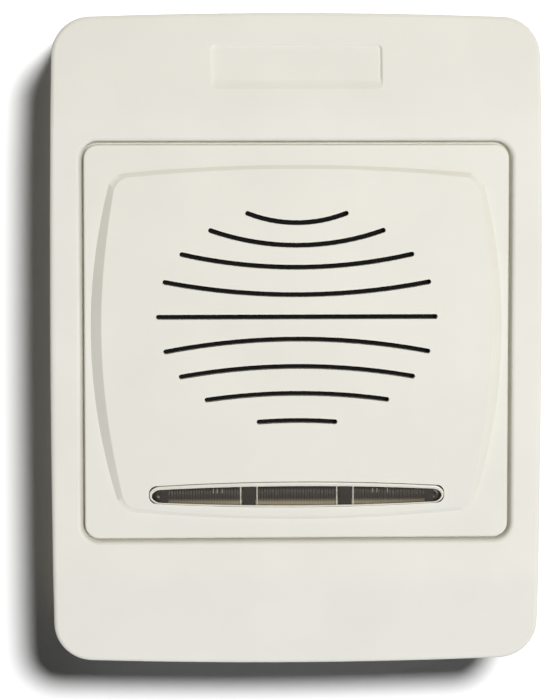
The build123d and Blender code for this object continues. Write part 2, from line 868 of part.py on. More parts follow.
# Lamp board with six surface lamps and its two screws
with BuildPart() as lamp_board:
    with BuildSketch(at_depth(lamp_board_rear)):
        with Locations((0, lens_z)):
            Rectangle(lamp_board_length, 2 * shroud_half)
        with Locations((-lamp_screw_x, lens_z), (lamp_screw_x, lens_z)):
            Circle(lamp_screw_radius + screw_hole_play, mode=Mode.SUBTRACT)
    extrude(amount=lamp_board_thickness)
lamp_board.part.label = "lamp_board"
export_step(lamp_board.part, "parts/lamp_board.step")

lamp_places = [((index - (lamp_count - 1) / 2) * lamp_pitch, lens_z) for index in range(lamp_count)]
with BuildPart() as strobe_lamps:
    with BuildSketch(at_depth(lamp_board_front)):
        with Locations(*lamp_places):
            Rectangle(lamp_length, lamp_width)
    extrude(amount=lamp_height)
    with BuildSketch(at_depth(lamp_board_front + lamp_height)):
        with Locations(*lamp_places):
            Circle(lamp_dome_diameter / 2)
    extrude(amount=lamp_dome_height)
    lamp_fronts = lamp_board_front + lamp_height + lamp_dome_height
    lamp_rims = strobe_lamps.edges().filter_by_position(Axis.Y, -lamp_fronts - 0.01, 0.01 - lamp_fronts)
    fillet(lamp_rims, 0.9 * lamp_dome_height)
strobe_lamps.part.label = "strobe_lamps"
export_step(strobe_lamps.part, "parts/strobe_lamps.step")

with BuildPart() as lamp_board_screws:
    with BuildSketch(at_depth(lamp_board_rear)):
        with Locations((-lamp_screw_x, lens_z), (lamp_screw_x, lens_z)):
            Circle(lamp_screw_radius)
    extrude(amount=lamp_screw_length)
    with BuildSketch(at_depth(lamp_board_rear - lamp_screw_head_height)):
        with Locations((-lamp_screw_x, lens_z), (lamp_screw_x, lens_z)):
            Circle(lamp_screw_head_radius)
    extrude(amount=lamp_screw_head_height)
    with BuildSketch(at_depth(lamp_board_rear - lamp_screw_head_height)):
        with Locations((-lamp_screw_x, lens_z), (lamp_screw_x, lens_z)):
            Rectangle(1.5 * lamp_screw_head_radius, screw_slot_width)
            Rectangle(screw_slot_width, 1.5 * lamp_screw_head_radius)
    extrude(amount=screw_slot_depth, mode=Mode.SUBTRACT)
lamp_board_screws.part.label = "lamp_board_screws"
export_step(lamp_board_screws.part, "parts/lamp_board_screws.step")


def ring(inner, outer, rear, front):
    """Ring or disc round the speaker's axis between two depths."""
    with BuildPart() as piece:
        with BuildSketch(at_depth(rear)):
            with Locations((0, speaker_z)):
                Circle(outer)
                if inner:
                    Circle(inner, mode=Mode.SUBTRACT)
        extrude(amount=front - rear)
    return piece.part


def turned(points):
    """Body of revolution round the speaker's axis, from points given as radius and depth."""
    with BuildPart() as piece:
        with BuildSketch(axial_plane(0, speaker_z)):
            with BuildLine():
                Polyline(*points, close=True)
            make_face()
        revolve(axis=axial_axis(0, speaker_z))
    return piece.part


# Gasket between the speaker's flange and the panel
with BuildPart() as speaker_gasket:
    add(ring(speaker_radius - gasket_width, speaker_radius, flange_front, panel_rear))
speaker_gasket.part.label = "speaker_gasket"
export_step(speaker_gasket.part, "parts/speaker_gasket.step")

# Speaker motor: yoke with pole, ring magnet, top plate
with BuildPart() as speaker_yoke:
    add(ring(0, yoke_diameter / 2, yoke_rear, magnet_rear))
    add(ring(0, pole_radius, magnet_rear, top_plate_front))
    yoke_edge = speaker_yoke.edges().filter_by_position(Axis.Y, -yoke_rear - 0.01, 0.01 - yoke_rear)
    chamfer(yoke_edge, motor_chamfer)
speaker_yoke.part.label = "speaker_yoke"
export_step(speaker_yoke.part, "parts/speaker_yoke.step")

with BuildPart() as speaker_magnet:
    add(ring(magnet_bore / 2, magnet_diameter / 2, magnet_rear, top_plate_rear))
    chamfer(speaker_magnet.edges().filter_by(GeomType.CIRCLE).sort_by(SortBy.LENGTH)[-2:], motor_chamfer)
speaker_magnet.part.label = "speaker_magnet"
export_step(speaker_magnet.part, "parts/speaker_magnet.step")

with BuildPart() as speaker_top_plate:
    add(ring(coil_outer + coil_gap, top_plate_diameter / 2, top_plate_rear, top_plate_front))
speaker_top_plate.part.label = "speaker_top_plate"
export_step(speaker_top_plate.part, "parts/speaker_top_plate.step")

# Basket: seat on the top plate, sloping wall with windows, outer flange
basket_inner = speaker_radius - flange_width
basket_seat = top_plate_diameter / 2 + basket_wall
with BuildPart() as speaker_basket:
    add(
        turned(
            [
                (basket_seat_inner, top_plate_front),
                (basket_seat, top_plate_front),
                (basket_inner + basket_wall, flange_rear),
                (speaker_radius, flange_rear),
                (speaker_radius, flange_front),
                (basket_inner, flange_front),
                (basket_seat - basket_wall, top_plate_front + basket_wall),
                (basket_seat_inner, top_plate_front + basket_wall),
            ]
        )
    )
    with BuildSketch(at_depth(top_plate_front)):
        with Locations((0, speaker_z)):
            Circle(basket_inner - basket_window_margin)
            Circle(basket_seat + basket_window_margin, mode=Mode.SUBTRACT)
            with PolarLocations(0, basket_windows):
                with Locations((speaker_radius / 2, 0)):
                    Rectangle(speaker_radius, basket_spoke_width, mode=Mode.SUBTRACT)
    extrude(amount=basket_height, mode=Mode.SUBTRACT)
speaker_basket.part.label = "speaker_basket"
export_step(speaker_basket.part, "parts/speaker_basket.step")

# Moving parts of the speaker: coil on its bobbin, cone and dust cap
cone_edge = basket_inner - surround_width
cone_front = flange_front
coil_middle = (top_plate_rear + top_plate_front) / 2
neck_depth = top_plate_front + neck_height
with BuildPart() as voice_coil:
    add(ring(bobbin_radius, bobbin_radius + bobbin_wall, coil_middle - winding_length / 2, neck_depth))
    add(
        ring(
            bobbin_radius + bobbin_wall / 2,
            coil_outer,
            coil_middle - winding_length / 2,
            coil_middle + winding_length / 2,
        )
    )
voice_coil.part.label = "voice_coil"
export_step(voice_coil.part, "parts/voice_coil.step")

cap_radius = dust_cap_diameter / 2
cone_slope = (cone_front - neck_depth) / (cone_edge - bobbin_radius - bobbin_wall)
cap_rear = neck_depth + (cap_radius - bobbin_radius - bobbin_wall) * cone_slope
with BuildPart() as speaker_cone:
    add(
        turned(
            [
                (bobbin_radius + bobbin_wall, neck_depth - cone_thickness),
                (cone_edge, cone_front - cone_thickness),
                (cone_edge, cone_front),
                (bobbin_radius + bobbin_wall, neck_depth),
            ]
        )
    )
speaker_cone.part.label = "speaker_cone"
export_step(speaker_cone.part, "parts/speaker_cone.step")

cap_sphere = (cap_radius**2 + cap_rise**2) / (2 * cap_rise)
cap_centre = cap_rear + cap_rise - cap_sphere
cap_inner = cap_sphere - cone_thickness
cap_inner_radius = math.sqrt(cap_inner**2 - (cap_rear - cap_centre) ** 2)
with BuildPart() as speaker_dust_cap:
    with BuildSketch(axial_plane(0, speaker_z)):
        with BuildLine():
            ThreePointArc(
                (cap_radius, cap_rear),
                (cap_radius / 2, cap_centre + math.sqrt(cap_sphere**2 - cap_radius**2 / 4)),
                (0, cap_centre + cap_sphere),
            )
            Line((0, cap_centre + cap_sphere), (0, cap_centre + cap_inner))
            ThreePointArc(
                (0, cap_centre + cap_inner),
                (cap_inner_radius / 2, cap_centre + math.sqrt(cap_inner**2 - cap_inner_radius**2 / 4)),
                (cap_inner_radius, cap_rear),
            )
            Line((cap_inner_radius, cap_rear), (cap_radius, cap_rear))
        make_face()
    revolve(axis=axial_axis(0, speaker_z))
speaker_dust_cap.part.label = "speaker_dust_cap"
export_step(speaker_dust_cap.part, "parts/speaker_dust_cap.step")

# Surround: half roll between the cone's edge and the basket's flange
roll_middle = (cone_edge + basket_inner) / 2
with BuildPart() as speaker_surround:
    with BuildSketch(axial_plane(0, speaker_z)):
        with BuildLine():
            Line(
                (cone_edge - surround_lap, cone_front),
                (roll_middle - roll_radius, cone_front),
            )
            ThreePointArc(
                (roll_middle - roll_radius, cone_front),
                (roll_middle, cone_front + roll_radius),
                (roll_middle + roll_radius, cone_front),
            )
            Line((roll_middle + roll_radius, cone_front), (basket_inner + surround_lap, cone_front))
            Line(
                (basket_inner + surround_lap, cone_front),
                (basket_inner + surround_lap, cone_front + surround_thickness),
            )
            Line(
                (basket_inner + surround_lap, cone_front + surround_thickness),
                (roll_middle + roll_radius + surround_thickness, cone_front + surround_thickness),
            )
            ThreePointArc(
                (roll_middle + roll_radius + surround_thickness, cone_front + surround_thickness),
                (roll_middle, cone_front + roll_radius + surround_thickness),
                (roll_middle - roll_radius - surround_thickness, cone_front + surround_thickness),
            )
            Line(
                (roll_middle - roll_radius - surround_thickness, cone_front + surround_thickness),
                (cone_edge - surround_lap, cone_front + surround_thickness),
            )
            Line(
                (cone_edge - surround_lap, cone_front + surround_thickness),
                (cone_edge - surround_lap, cone_front),
            )
        make_face()
    revolve(axis=axial_axis(0, speaker_z))
speaker_surround.part.label = "speaker_surround"
export_step(speaker_surround.part, "parts/speaker_surround.step")

# Spider: corrugated disc that centres the coil
spider_rear = top_plate_front + basket_wall
spider_inner = bobbin_radius + bobbin_wall
spider_outer = basket_seat - basket_wall - spider_seat_gap
spider_flat = (spider_outer - spider_inner) / (2 * spider_waves + 2)
spider_low = []
spider_high = []
for index in range(2 * spider_waves + 3):
    radius = spider_inner + index * spider_flat
    lift = spider_wave_height if index % 2 and index < 2 * spider_waves + 1 else 0.0
    spider_low.append((radius, spider_rear + lift))
    spider_high.append((radius, spider_rear + lift + spider_thickness))
with BuildPart() as speaker_spider:
    add(turned(spider_low + spider_high[::-1]))
speaker_spider.part.label = "speaker_spider"
export_step(speaker_spider.part, "parts/speaker_spider.step")

# Terminal strip under the flange with two solder tags
strip_z = speaker_z + speaker_radius - strip_margin - strip_width / 2
with BuildPart() as speaker_terminals:
    with BuildSketch(at_depth(flange_rear - strip_thickness)):
        with Locations((0, strip_z)):
            Rectangle(strip_length, strip_width)
    extrude(amount=strip_thickness)
    with BuildSketch(at_depth(flange_rear - strip_thickness - tag_length)):
        with Locations((-tag_spread / 2, strip_z), (tag_spread / 2, strip_z)):
            Rectangle(tag_width, tag_thickness)
    extrude(amount=tag_length)
speaker_terminals.part.label = "speaker_terminals"
export_step(speaker_terminals.part, "parts/speaker_terminals.step")

# Four clamps and screws that hold the speaker's flange against the panel
with BuildPart() as speaker_clamps:
    with BuildSketch(at_depth(flange_rear - clamp_thickness)):
        with Locations((0, speaker_z)):
            with PolarLocations(0, 4, start_angle=45):
                with Locations(((speaker_radius - clamp_lap + clamp_reach + clamp_boss_radius) / 2, 0)):
                    RectangleRounded(
                        clamp_reach + clamp_boss_radius - speaker_radius + clamp_lap,
                        2 * clamp_boss_radius,
                        clamp_corner_radius,
                    )
                with Locations((clamp_reach, 0)):
                    Circle(clamp_screw_radius + screw_hole_play, mode=Mode.SUBTRACT)
    extrude(amount=clamp_thickness)
speaker_clamps.part.label = "speaker_clamps"
export_step(speaker_clamps.part, "parts/speaker_clamps.step")

with BuildPart() as speaker_screws:
    with BuildSketch(at_depth(flange_rear - clamp_thickness)):
        with Locations(*clamp_places):
            Circle(clamp_screw_radius)
    extrude(amount=clamp_screw_length)
    with BuildSketch(at_depth(flange_rear - clamp_thickness - clamp_screw_head_height)):
        with Locations(*clamp_places):
            Circle(clamp_screw_head_radius)
    extrude(amount=clamp_screw_head_height)
    with BuildSketch(at_depth(flange_rear - clamp_thickness - clamp_screw_head_height)):
        with Locations(*clamp_places):
            Rectangle(1.5 * clamp_screw_head_radius, screw_slot_width)
            Rectangle(screw_slot_width, 1.5 * clamp_screw_head_radius)
    extrude(amount=screw_slot_depth, mode=Mode.SUBTRACT)
speaker_screws.part.label = "speaker_screws"
export_step(speaker_screws.part, "parts/speaker_screws.step")

# Main board with its holes
board_hole_x = board_width / 2 - board_hole_inset
board_hole_z = board_height / 2 - board_hole_inset
board_holes = [
    (x, board_z + z) for x in (-board_hole_x, board_hole_x) for z in (-board_hole_z, board_hole_z)
]
tamper_x, tamper_z = tamper_place
way_places = [(index - (ways - 1) / 2) * way_pitch for index in range(ways)]
cage_half = clamp_length / 2
leg_z = block_z - cage_half - clamp_play - tongue_leg_gap - tongue_thickness / 2
pin_places = [(x, leg_z) for x in way_places]
with BuildPart() as main_board:
    with BuildSketch(at_depth(board_rear)):
        with Locations((0, board_z)):
            RectangleRounded(board_width, board_height, board_corner_radius)
        with Locations(*board_holes):
            Circle(board_screw_radius + screw_hole_play, mode=Mode.SUBTRACT)
        with Locations(*pin_places):
            Circle(solder_pin_radius + screw_hole_play, mode=Mode.SUBTRACT)
    extrude(amount=board_thickness)
main_board.part.label = "main_board"
export_step(main_board.part, "parts/main_board.step")

with BuildPart() as board_screws:
    with BuildSketch(at_depth(board_front - board_screw_length)):
        with Locations(*board_holes):
            Circle(board_screw_radius)
    extrude(amount=board_screw_length)
    with BuildSketch(at_depth(board_front)):
        with Locations(*board_holes):
            Circle(board_screw_head_radius)
    extrude(amount=board_screw_head_height)
    with BuildSketch(at_depth(board_front + board_screw_head_height - screw_slot_depth)):
        with Locations(*board_holes):
            Rectangle(1.5 * board_screw_head_radius, screw_slot_width)
            Rectangle(screw_slot_width, 1.5 * board_screw_head_radius)
    extrude(amount=screw_slot_depth, mode=Mode.SUBTRACT)
board_screws.part.label = "board_screws"
export_step(board_screws.part, "parts/board_screws.step")

with BuildPart() as capacitors:
    with BuildSketch(at_depth(board_front)):
        with Locations(*capacitor_places):
            Circle(capacitor_diameter / 2)
    extrude(amount=capacitor_height)
    can_fronts = capacitors.edges().filter_by_position(
        Axis.Y, -board_front - capacitor_height - 0.01, 0.01 - board_front - capacitor_height
    )
    fillet(can_fronts, can_edge_radius)
capacitors.part.label = "capacitors"
export_step(capacitors.part, "parts/capacitors.step")

with BuildPart() as choke:
    with BuildSketch(at_depth(board_front)):
        with Locations(choke_place):
            Rectangle(choke_diameter, choke_diameter)
    extrude(amount=choke_base)
    with BuildSketch(at_depth(board_front + choke_base)):
        with Locations(choke_place):
            Circle(choke_diameter / 2 - choke_base)
    extrude(amount=choke_height - choke_base)
choke.part.label = "choke"
export_step(choke.part, "parts/choke.step")

with BuildPart() as amplifier_chip:
    with BuildSketch(at_depth(board_front)):
        with Locations(amplifier_place):
            Rectangle(*amplifier_size)
    extrude(amount=low_part_height)
    with BuildSketch(at_depth(board_front)):
        with Locations(amplifier_place):
            with GridLocations(chip_lead_pitch, 0, 8, 1):
                Rectangle(chip_lead_width, amplifier_size[1] + 2 * chip_lead_reach)
    extrude(amount=chip_lead_width)
amplifier_chip.part.label = "amplifier_chip"
export_step(amplifier_chip.part, "parts/amplifier_chip.step")

with BuildPart() as controller_chip:
    with BuildSketch(at_depth(board_front)):
        with Locations(controller_place):
            Rectangle(*controller_size)
    extrude(amount=low_part_height)
    with BuildSketch(at_depth(board_front)):
        with Locations(controller_place):
            with GridLocations(chip_lead_pitch, 0, 4, 1):
                Rectangle(chip_lead_width, controller_size[1] + 2 * chip_lead_reach)
            with GridLocations(0, chip_lead_pitch, 1, 4):
                Rectangle(controller_size[0] + 2 * chip_lead_reach, chip_lead_width)
    extrude(amount=chip_lead_width)
controller_chip.part.label = "controller_chip"
export_step(controller_chip.part, "parts/controller_chip.step")

with BuildPart() as board_small_parts:
    with BuildSketch(at_depth(board_front)):
        for grid_place in small_part_grids:
            with Locations(grid_place):
                with GridLocations(small_part_pitch, small_part_pitch, 3, 2):
                    Rectangle(small_part_length, small_part_width)
    extrude(amount=small_part_height)
board_small_parts.part.label = "board_small_parts"
export_step(board_small_parts.part, "parts/board_small_parts.step")


def header_piece(place):
    """Two-pin header on the main board: an open box with its pins."""
    with BuildPart() as header:
        with BuildSketch(at_depth(board_front)):
            with Locations(place):
                Rectangle(header_width, header_depth)
        extrude(amount=header_height)
        with BuildSketch(at_depth(board_front + header_floor)):
            with Locations(place):
                Rectangle(header_width - 2 * header_wall, header_depth - 2 * header_wall)
        extrude(amount=header_height, mode=Mode.SUBTRACT)
        with BuildSketch(at_depth(board_front + header_floor / 2)):
            with Locations(place):
                with GridLocations(pin_pitch, 0, 2, 1):
                    Rectangle(pin_size, pin_size)
        extrude(amount=header_height - header_floor)
    return header.part


def plug_piece(place):
    """Plug that fits the header, with bores for the pins and for the wires."""
    plug_rear = board_front + header_floor + header_clearance
    plug_front = board_front + header_height + plug_rise
    with BuildPart() as plug:
        with BuildSketch(at_depth(plug_rear)):
            with Locations(place):
                Rectangle(
                    header_width - 2 * header_wall - 2 * header_clearance,
                    header_depth - 2 * header_wall - 2 * header_clearance,
                )
        extrude(amount=plug_front - plug_rear)
        with BuildSketch(at_depth(plug_rear)):
            with Locations(place):
                with GridLocations(pin_pitch, 0, 2, 1):
                    Rectangle(pin_size + 2 * header_clearance, pin_size + 2 * header_clearance)
        extrude(amount=header_height - 1.5 * header_floor, mode=Mode.SUBTRACT)
        with BuildSketch(at_depth(plug_front - plug_wire_reach)):
            with Locations(place):
                with GridLocations(pin_pitch, 0, 2, 1):
                    Circle(wire_diameter / 2 + screw_hole_play)
        extrude(amount=plug_rise + header_height, mode=Mode.SUBTRACT)
    return plug.part


with BuildPart() as speaker_header:
    add(header_piece(speaker_header_place))
speaker_header.part.label = "speaker_header"
export_step(speaker_header.part, "parts/speaker_header.step")

with BuildPart() as lamp_header:
    add(header_piece(lamp_header_place))
lamp_header.part.label = "lamp_header"
export_step(lamp_header.part, "parts/lamp_header.step")

with BuildPart() as speaker_plug:
    add(plug_piece(speaker_header_place))
speaker_plug.part.label = "speaker_plug"
export_step(speaker_plug.part, "parts/speaker_plug.step")

with BuildPart() as lamp_plug:
    add(plug_piece(lamp_header_place))
lamp_plug.part.label = "lamp_plug"
export_step(lamp_plug.part, "parts/lamp_plug.step")

# Wires from the plugs to the speaker's tags and to the lamp board
wire_start = board_front + header_height + plug_rise - plug_wire_reach
tag_rear = flange_rear - strip_thickness - tag_length
wire_radius = wire_diameter / 2
with BuildPart() as speaker_wires:
    for side in (-1, 1):
        with BuildLine() as lead:
            FilletPolyline(
                (side * pin_pitch / 2, -wire_start, speaker_header_place[1]),
                (side * pin_pitch / 2, -tag_rear - wire_bend, speaker_header_place[1]),
                (side * tag_spread / 2, -tag_rear - wire_bend - wire_radius, strip_z + 2 * wire_bend),
                (side * tag_spread / 2, -tag_rear - wire_radius, strip_z + tag_thickness / 2 + wire_radius),
                radius=wire_bend / 2,
            )
        with BuildSketch(Plane(origin=lead.line @ 0, z_dir=lead.line % 0)):
            Circle(wire_radius)
        sweep(path=lead.line)
speaker_wires.part.label = "speaker_wires"
export_step(speaker_wires.part, "parts/speaker_wires.step")

with BuildPart() as lamp_wires:
    for side in (-1, 1):
        with BuildLine() as lead:
            FilletPolyline(
                (side * pin_pitch / 2, -wire_start, lamp_header_place[1]),
                (side * pin_pitch / 2, wire_bend - lamp_board_rear, lamp_header_place[1]),
                (side * lamp_wire_spread / 2, wire_bend - lamp_board_rear, lens_z - wire_bend),
                (side * lamp_wire_spread / 2, -lamp_board_rear, lens_z - wire_bend),
                radius=wire_bend / 2,
            )
        with BuildSketch(Plane(origin=lead.line @ 0, z_dir=lead.line % 0)):
            Circle(wire_radius)
        sweep(path=lead.line)
lamp_wires.part.label = "lamp_wires"
export_step(lamp_wires.part, "parts/lamp_wires.step")

# Terminal block on the board's rear: one body, then per way a contact, a screw and a cage clamp
head_rear = block_rear + terminal_head_inset
shelf_rear = head_rear + terminal_head_height
cage_front = board_rear - block_floor - clamp_play
cage_rear = cage_front - clamp_height
tongue_rear = cage_rear + clamp_thread_wall + tongue_gap
tongue_front = tongue_rear + tongue_thickness
shelf_front = cage_rear - clamp_travel - clamp_play
block_width = ways * way_pitch + 2 * block_end_wall
screw_tip = tongue_rear - screw_tip_gap
entry_bottom = tongue_front
entry_top = cage_front - clamp_jaw
with BuildPart() as terminal_block:
    with BuildSketch(at_depth(block_rear)):
        with Locations((0, block_z)):
            Rectangle(block_width, block_body)
    extrude(amount=block_height)
    block_edges = terminal_block.edges().filter_by_position(Axis.Y, -block_rear - 0.01, 0.01 - block_rear)
    chamfer(block_edges, block_chamfer)
    with BuildSketch(at_depth(shelf_front)):
        with Locations(*[(x, block_z) for x in way_places]):
            Rectangle(clamp_width + 2 * clamp_play, clamp_length + 2 * clamp_play)
    extrude(amount=board_rear - block_floor - shelf_front, mode=Mode.SUBTRACT)
    with BuildSketch(at_depth(tongue_rear - tongue_leg_gap)):
        with Locations(*pin_places):
            Rectangle(tongue_width + 2 * tongue_leg_gap, tongue_thickness + 4 * tongue_leg_gap)
    extrude(amount=2 * block_height, mode=Mode.SUBTRACT)
    with BuildSketch(at_depth(block_rear)):
        with Locations(*[(x, block_z) for x in way_places]):
            Circle(terminal_head_radius + terminal_funnel_play)
    extrude(amount=shelf_rear - block_rear, mode=Mode.SUBTRACT)
    with BuildSketch(at_depth(shelf_rear)):
        with Locations(*[(x, block_z) for x in way_places]):
            Circle(terminal_screw_radius + shank_play)
    extrude(amount=clamp_height, mode=Mode.SUBTRACT)
    with BuildSketch(Plane.XY.offset(block_z)):
        with Locations(*[(x, -(entry_bottom + entry_top) / 2) for x in way_places]):
            Rectangle(entry_width, entry_top - entry_bottom)
    extrude(amount=block_body, mode=Mode.SUBTRACT)
terminal_block.part.label = "terminal_block"
export_step(terminal_block.part, "parts/terminal_block.step")

with BuildPart() as terminal_contacts:
    with BuildSketch(at_depth(tongue_rear)):
        with Locations(*[(x, (block_z + cage_half + leg_z - tongue_thickness / 2) / 2) for x in way_places]):
            Rectangle(tongue_width, block_z + cage_half - leg_z + tongue_thickness / 2)
    extrude(amount=tongue_thickness)
    with BuildSketch(at_depth(tongue_rear)):
        with Locations(*pin_places):
            Rectangle(tongue_width, tongue_thickness)
    extrude(amount=board_rear - tongue_rear - tongue_leg_gap)
    with BuildSketch(at_depth(tongue_front)):
        with Locations(*pin_places):
            Circle(solder_pin_radius)
    extrude(amount=board_front + solder_pin_reach - tongue_front)
terminal_contacts.part.label = "terminal_contacts"
export_step(terminal_contacts.part, "parts/terminal_contacts.step")

for number, x in enumerate(way_places, start=1):
    with BuildPart() as terminal_screw:
        with BuildSketch(at_depth(head_rear)):
            with Locations((x, block_z)):
                Circle(terminal_head_radius)
        extrude(amount=terminal_head_height)
        with BuildSketch(at_depth(shelf_rear)):
            with Locations((x, block_z)):
                Circle(terminal_screw_radius)
        extrude(amount=screw_tip - shelf_rear)
        with BuildSketch(at_depth(head_rear)):
            with Locations((x, block_z)):
                Rectangle(2 * terminal_head_radius, screw_slot_width)
        extrude(amount=screw_slot_depth, mode=Mode.SUBTRACT)
    terminal_screw.part.label = f"terminal_screw_{number}"
    export_step(terminal_screw.part, f"parts/terminal_screw_{number}.step")

    with BuildPart() as terminal_clamp:
        with BuildSketch(at_depth(cage_rear)):
            with Locations((x, block_z)):
                Rectangle(clamp_width, clamp_length)
        extrude(amount=clamp_height)
        with BuildSketch(at_depth(cage_rear + clamp_thread_wall)):
            with Locations((x, block_z)):
                Rectangle(clamp_width - 2 * clamp_side, 2 * clamp_length)
        extrude(amount=clamp_height - clamp_thread_wall - clamp_jaw, mode=Mode.SUBTRACT)
        with BuildSketch(at_depth(cage_rear)):
            with Locations((x, block_z)):
                Circle(terminal_screw_radius + thread_clearance)
        extrude(amount=clamp_thread_wall, mode=Mode.SUBTRACT)
    terminal_clamp.part.label = f"terminal_clamp_{number}"
    export_step(terminal_clamp.part, f"parts/terminal_clamp_{number}.step")

# Tamper switch on the board, its plunger and its spring
flange_top = plunger_flange_rear + plunger_flange_thickness
with BuildPart() as tamper_switch:
    with BuildSketch(at_depth(switch_rear)):
        with Locations(tamper_place):
            Rectangle(switch_size, switch_size)
            Circle(plunger_stem_radius + stem_play, mode=Mode.SUBTRACT)
    extrude(amount=switch_height)
    with BuildSketch(at_depth(switch_rear)):
        with Locations(tamper_place):
            Circle(spring_seat_radius)
    extrude(amount=spring_seat_depth, mode=Mode.SUBTRACT)
tamper_switch.part.label = "tamper_switch"
export_step(tamper_switch.part, "parts/tamper_switch.step")

with BuildPart() as tamper_plunger:
    with BuildSketch(at_depth(plunger_wall_gap)):
        with Locations(tamper_place):
            Circle(plunger_radius)
    extrude(amount=flange_top - plunger_wall_gap)
    tip = tamper_plunger.edges().filter_by_position(
        Axis.Y, -plunger_wall_gap - 0.01, 0.01 - plunger_wall_gap
    )
    fillet(tip, plunger_tip_radius)
    with BuildSketch(at_depth(plunger_flange_rear)):
        with Locations(tamper_place):
            Circle(plunger_flange_radius)
    extrude(amount=plunger_flange_thickness)
    with BuildSketch(at_depth(flange_top)):
        with Locations(tamper_place):
            Circle(plunger_stem_radius)
    extrude(amount=board_rear - flange_top - lock_clearance)
tamper_plunger.part.label = "tamper_plunger"
export_step(tamper_plunger.part, "parts/tamper_plunger.step")

spring_length = switch_rear + spring_seat_depth - flange_top
spring_pitch = (spring_length - spring_wire) / spring_turns
with BuildPart() as tamper_spring:
    with BuildLine() as coil_line:
        Helix(
            pitch=spring_pitch,
            height=spring_length - spring_wire,
            radius=spring_radius,
            center=(tamper_x, -flange_top - spring_wire / 2, tamper_z),
            direction=(0, -1, 0),
        )
    with BuildSketch(Plane(origin=coil_line.line @ 0, z_dir=coil_line.line % 0)):
        Circle(spring_wire / 2)
    sweep(path=coil_line.line, is_frenet=True)
tamper_spring.part.label = "tamper_spring"
export_step(tamper_spring.part, "parts/tamper_spring.step")
turn_points = [coil_line.line @ (index / 400) for index in range(401)]
per_turn = int(400 / spring_turns)
spring_gap = min(
    (turn_points[a] - turn_points[b]).length
    for a in range(0, 401 - per_turn // 2)
    for b in range(a + per_turn // 2, 401)
)
print("least gap of the spring to itself", round(spring_gap - spring_wire, 3))

# Rear cover: plate with standoffs, a wiring bay with a wall round it, and two hooks
cover_outline_inset = casing_wall + rear_cover_clearance
window_top = block_z + block_body / 2 + wire_space
window_bottom = block_z - block_body / 2 - block_window_play
window_half = block_width / 2 + block_window_play
hook_inner = trunnion_radius + hook_clearance
hook_outer = hook_inner + hook_wall
hook_width = trunnion_length - 2 * hook_side_gap
trunnion_places = (-trunnion_spread / 2, trunnion_spread / 2)
with BuildPart() as rear_cover:
    with BuildSketch(at_depth(cover_rear)):
        add(casing_outline(cover_outline_inset))
    extrude(amount=rear_cover_thickness)
    with BuildSketch(at_depth(cover_rear)):
        with Locations((0, (window_top + window_bottom) / 2)):
            Rectangle(2 * (window_half + chamber_wall), window_top - window_bottom + 2 * chamber_wall)
    extrude(amount=board_rear - cover_rear - chamber_gap)
    with BuildSketch(at_depth(cover_rear)):
        with Locations((0, (window_top + window_bottom) / 2)):
            Rectangle(2 * window_half, window_top - window_bottom)
    extrude(amount=board_rear, mode=Mode.SUBTRACT)
    with BuildSketch(at_depth(cover_rear + rear_cover_thickness / 2)):
        with Locations(*board_holes):
            Circle(standoff_diameter / 2)
    extrude(amount=board_rear - cover_rear - rear_cover_thickness / 2)
    with BuildSketch(at_depth(cover_front)):
        with Locations(*board_holes):
            Circle(board_screw_radius + screw_hole_play)
    extrude(amount=board_rear, mode=Mode.SUBTRACT)
    with BuildSketch(at_depth(cover_rear)):
        with Locations(tamper_place):
            Circle(plunger_radius + plunger_play)
    extrude(amount=board_rear, mode=Mode.SUBTRACT)
    for x, z in boss_places:
        with BuildSketch(axial_plane(x, z)):
            with BuildLine():
                Polyline(
                    (0, cover_rear),
                    (cover_screw_head_radius + screw_play, cover_rear),
                    (cover_screw_radius + screw_play, cover_rear + cover_screw_cone),
                    (cover_screw_radius + screw_play, cover_front),
                    (0, cover_front),
                    close=True,
                )
            make_face()
        revolve(axis=axial_axis(x, z), mode=Mode.SUBTRACT)
    # hooks that hang on the back plate's rods, open at the bottom
    for x in trunnion_places:
        with BuildSketch(Plane.YZ.offset(x - hook_width / 2)):
            with Locations((-trunnion_depth, trunnion_z)):
                Circle(hook_outer)
            with Locations((-trunnion_depth, trunnion_z - hook_leg / 2)):
                Rectangle(2 * hook_outer, hook_leg)
            with Locations((-trunnion_depth, trunnion_z - hook_outer - hook_leg)):
                Rectangle(2 * hook_outer, 2 * hook_outer, mode=Mode.SUBTRACT)
            with Locations((-trunnion_depth, trunnion_z)):
                Circle(hook_inner, mode=Mode.SUBTRACT)
            with Locations((-trunnion_depth, trunnion_z - hook_leg)):
                Rectangle(2 * hook_inner, 2 * hook_leg, mode=Mode.SUBTRACT)
        extrude(amount=hook_width)
rear_cover.part.label = "rear_cover"
export_step(rear_cover.part, "parts/rear_cover.step")

with BuildPart() as rear_seal:
    with BuildSketch(at_depth(cover_front)):
        add(casing_outline(casing_wall + seal_inset))
        add(casing_outline(casing_wall + seal_inset + seal_width), mode=Mode.SUBTRACT)
    extrude(amount=seal_thickness)
rear_seal.part.label = "rear_seal"
export_step(rear_seal.part, "parts/rear_seal.step")

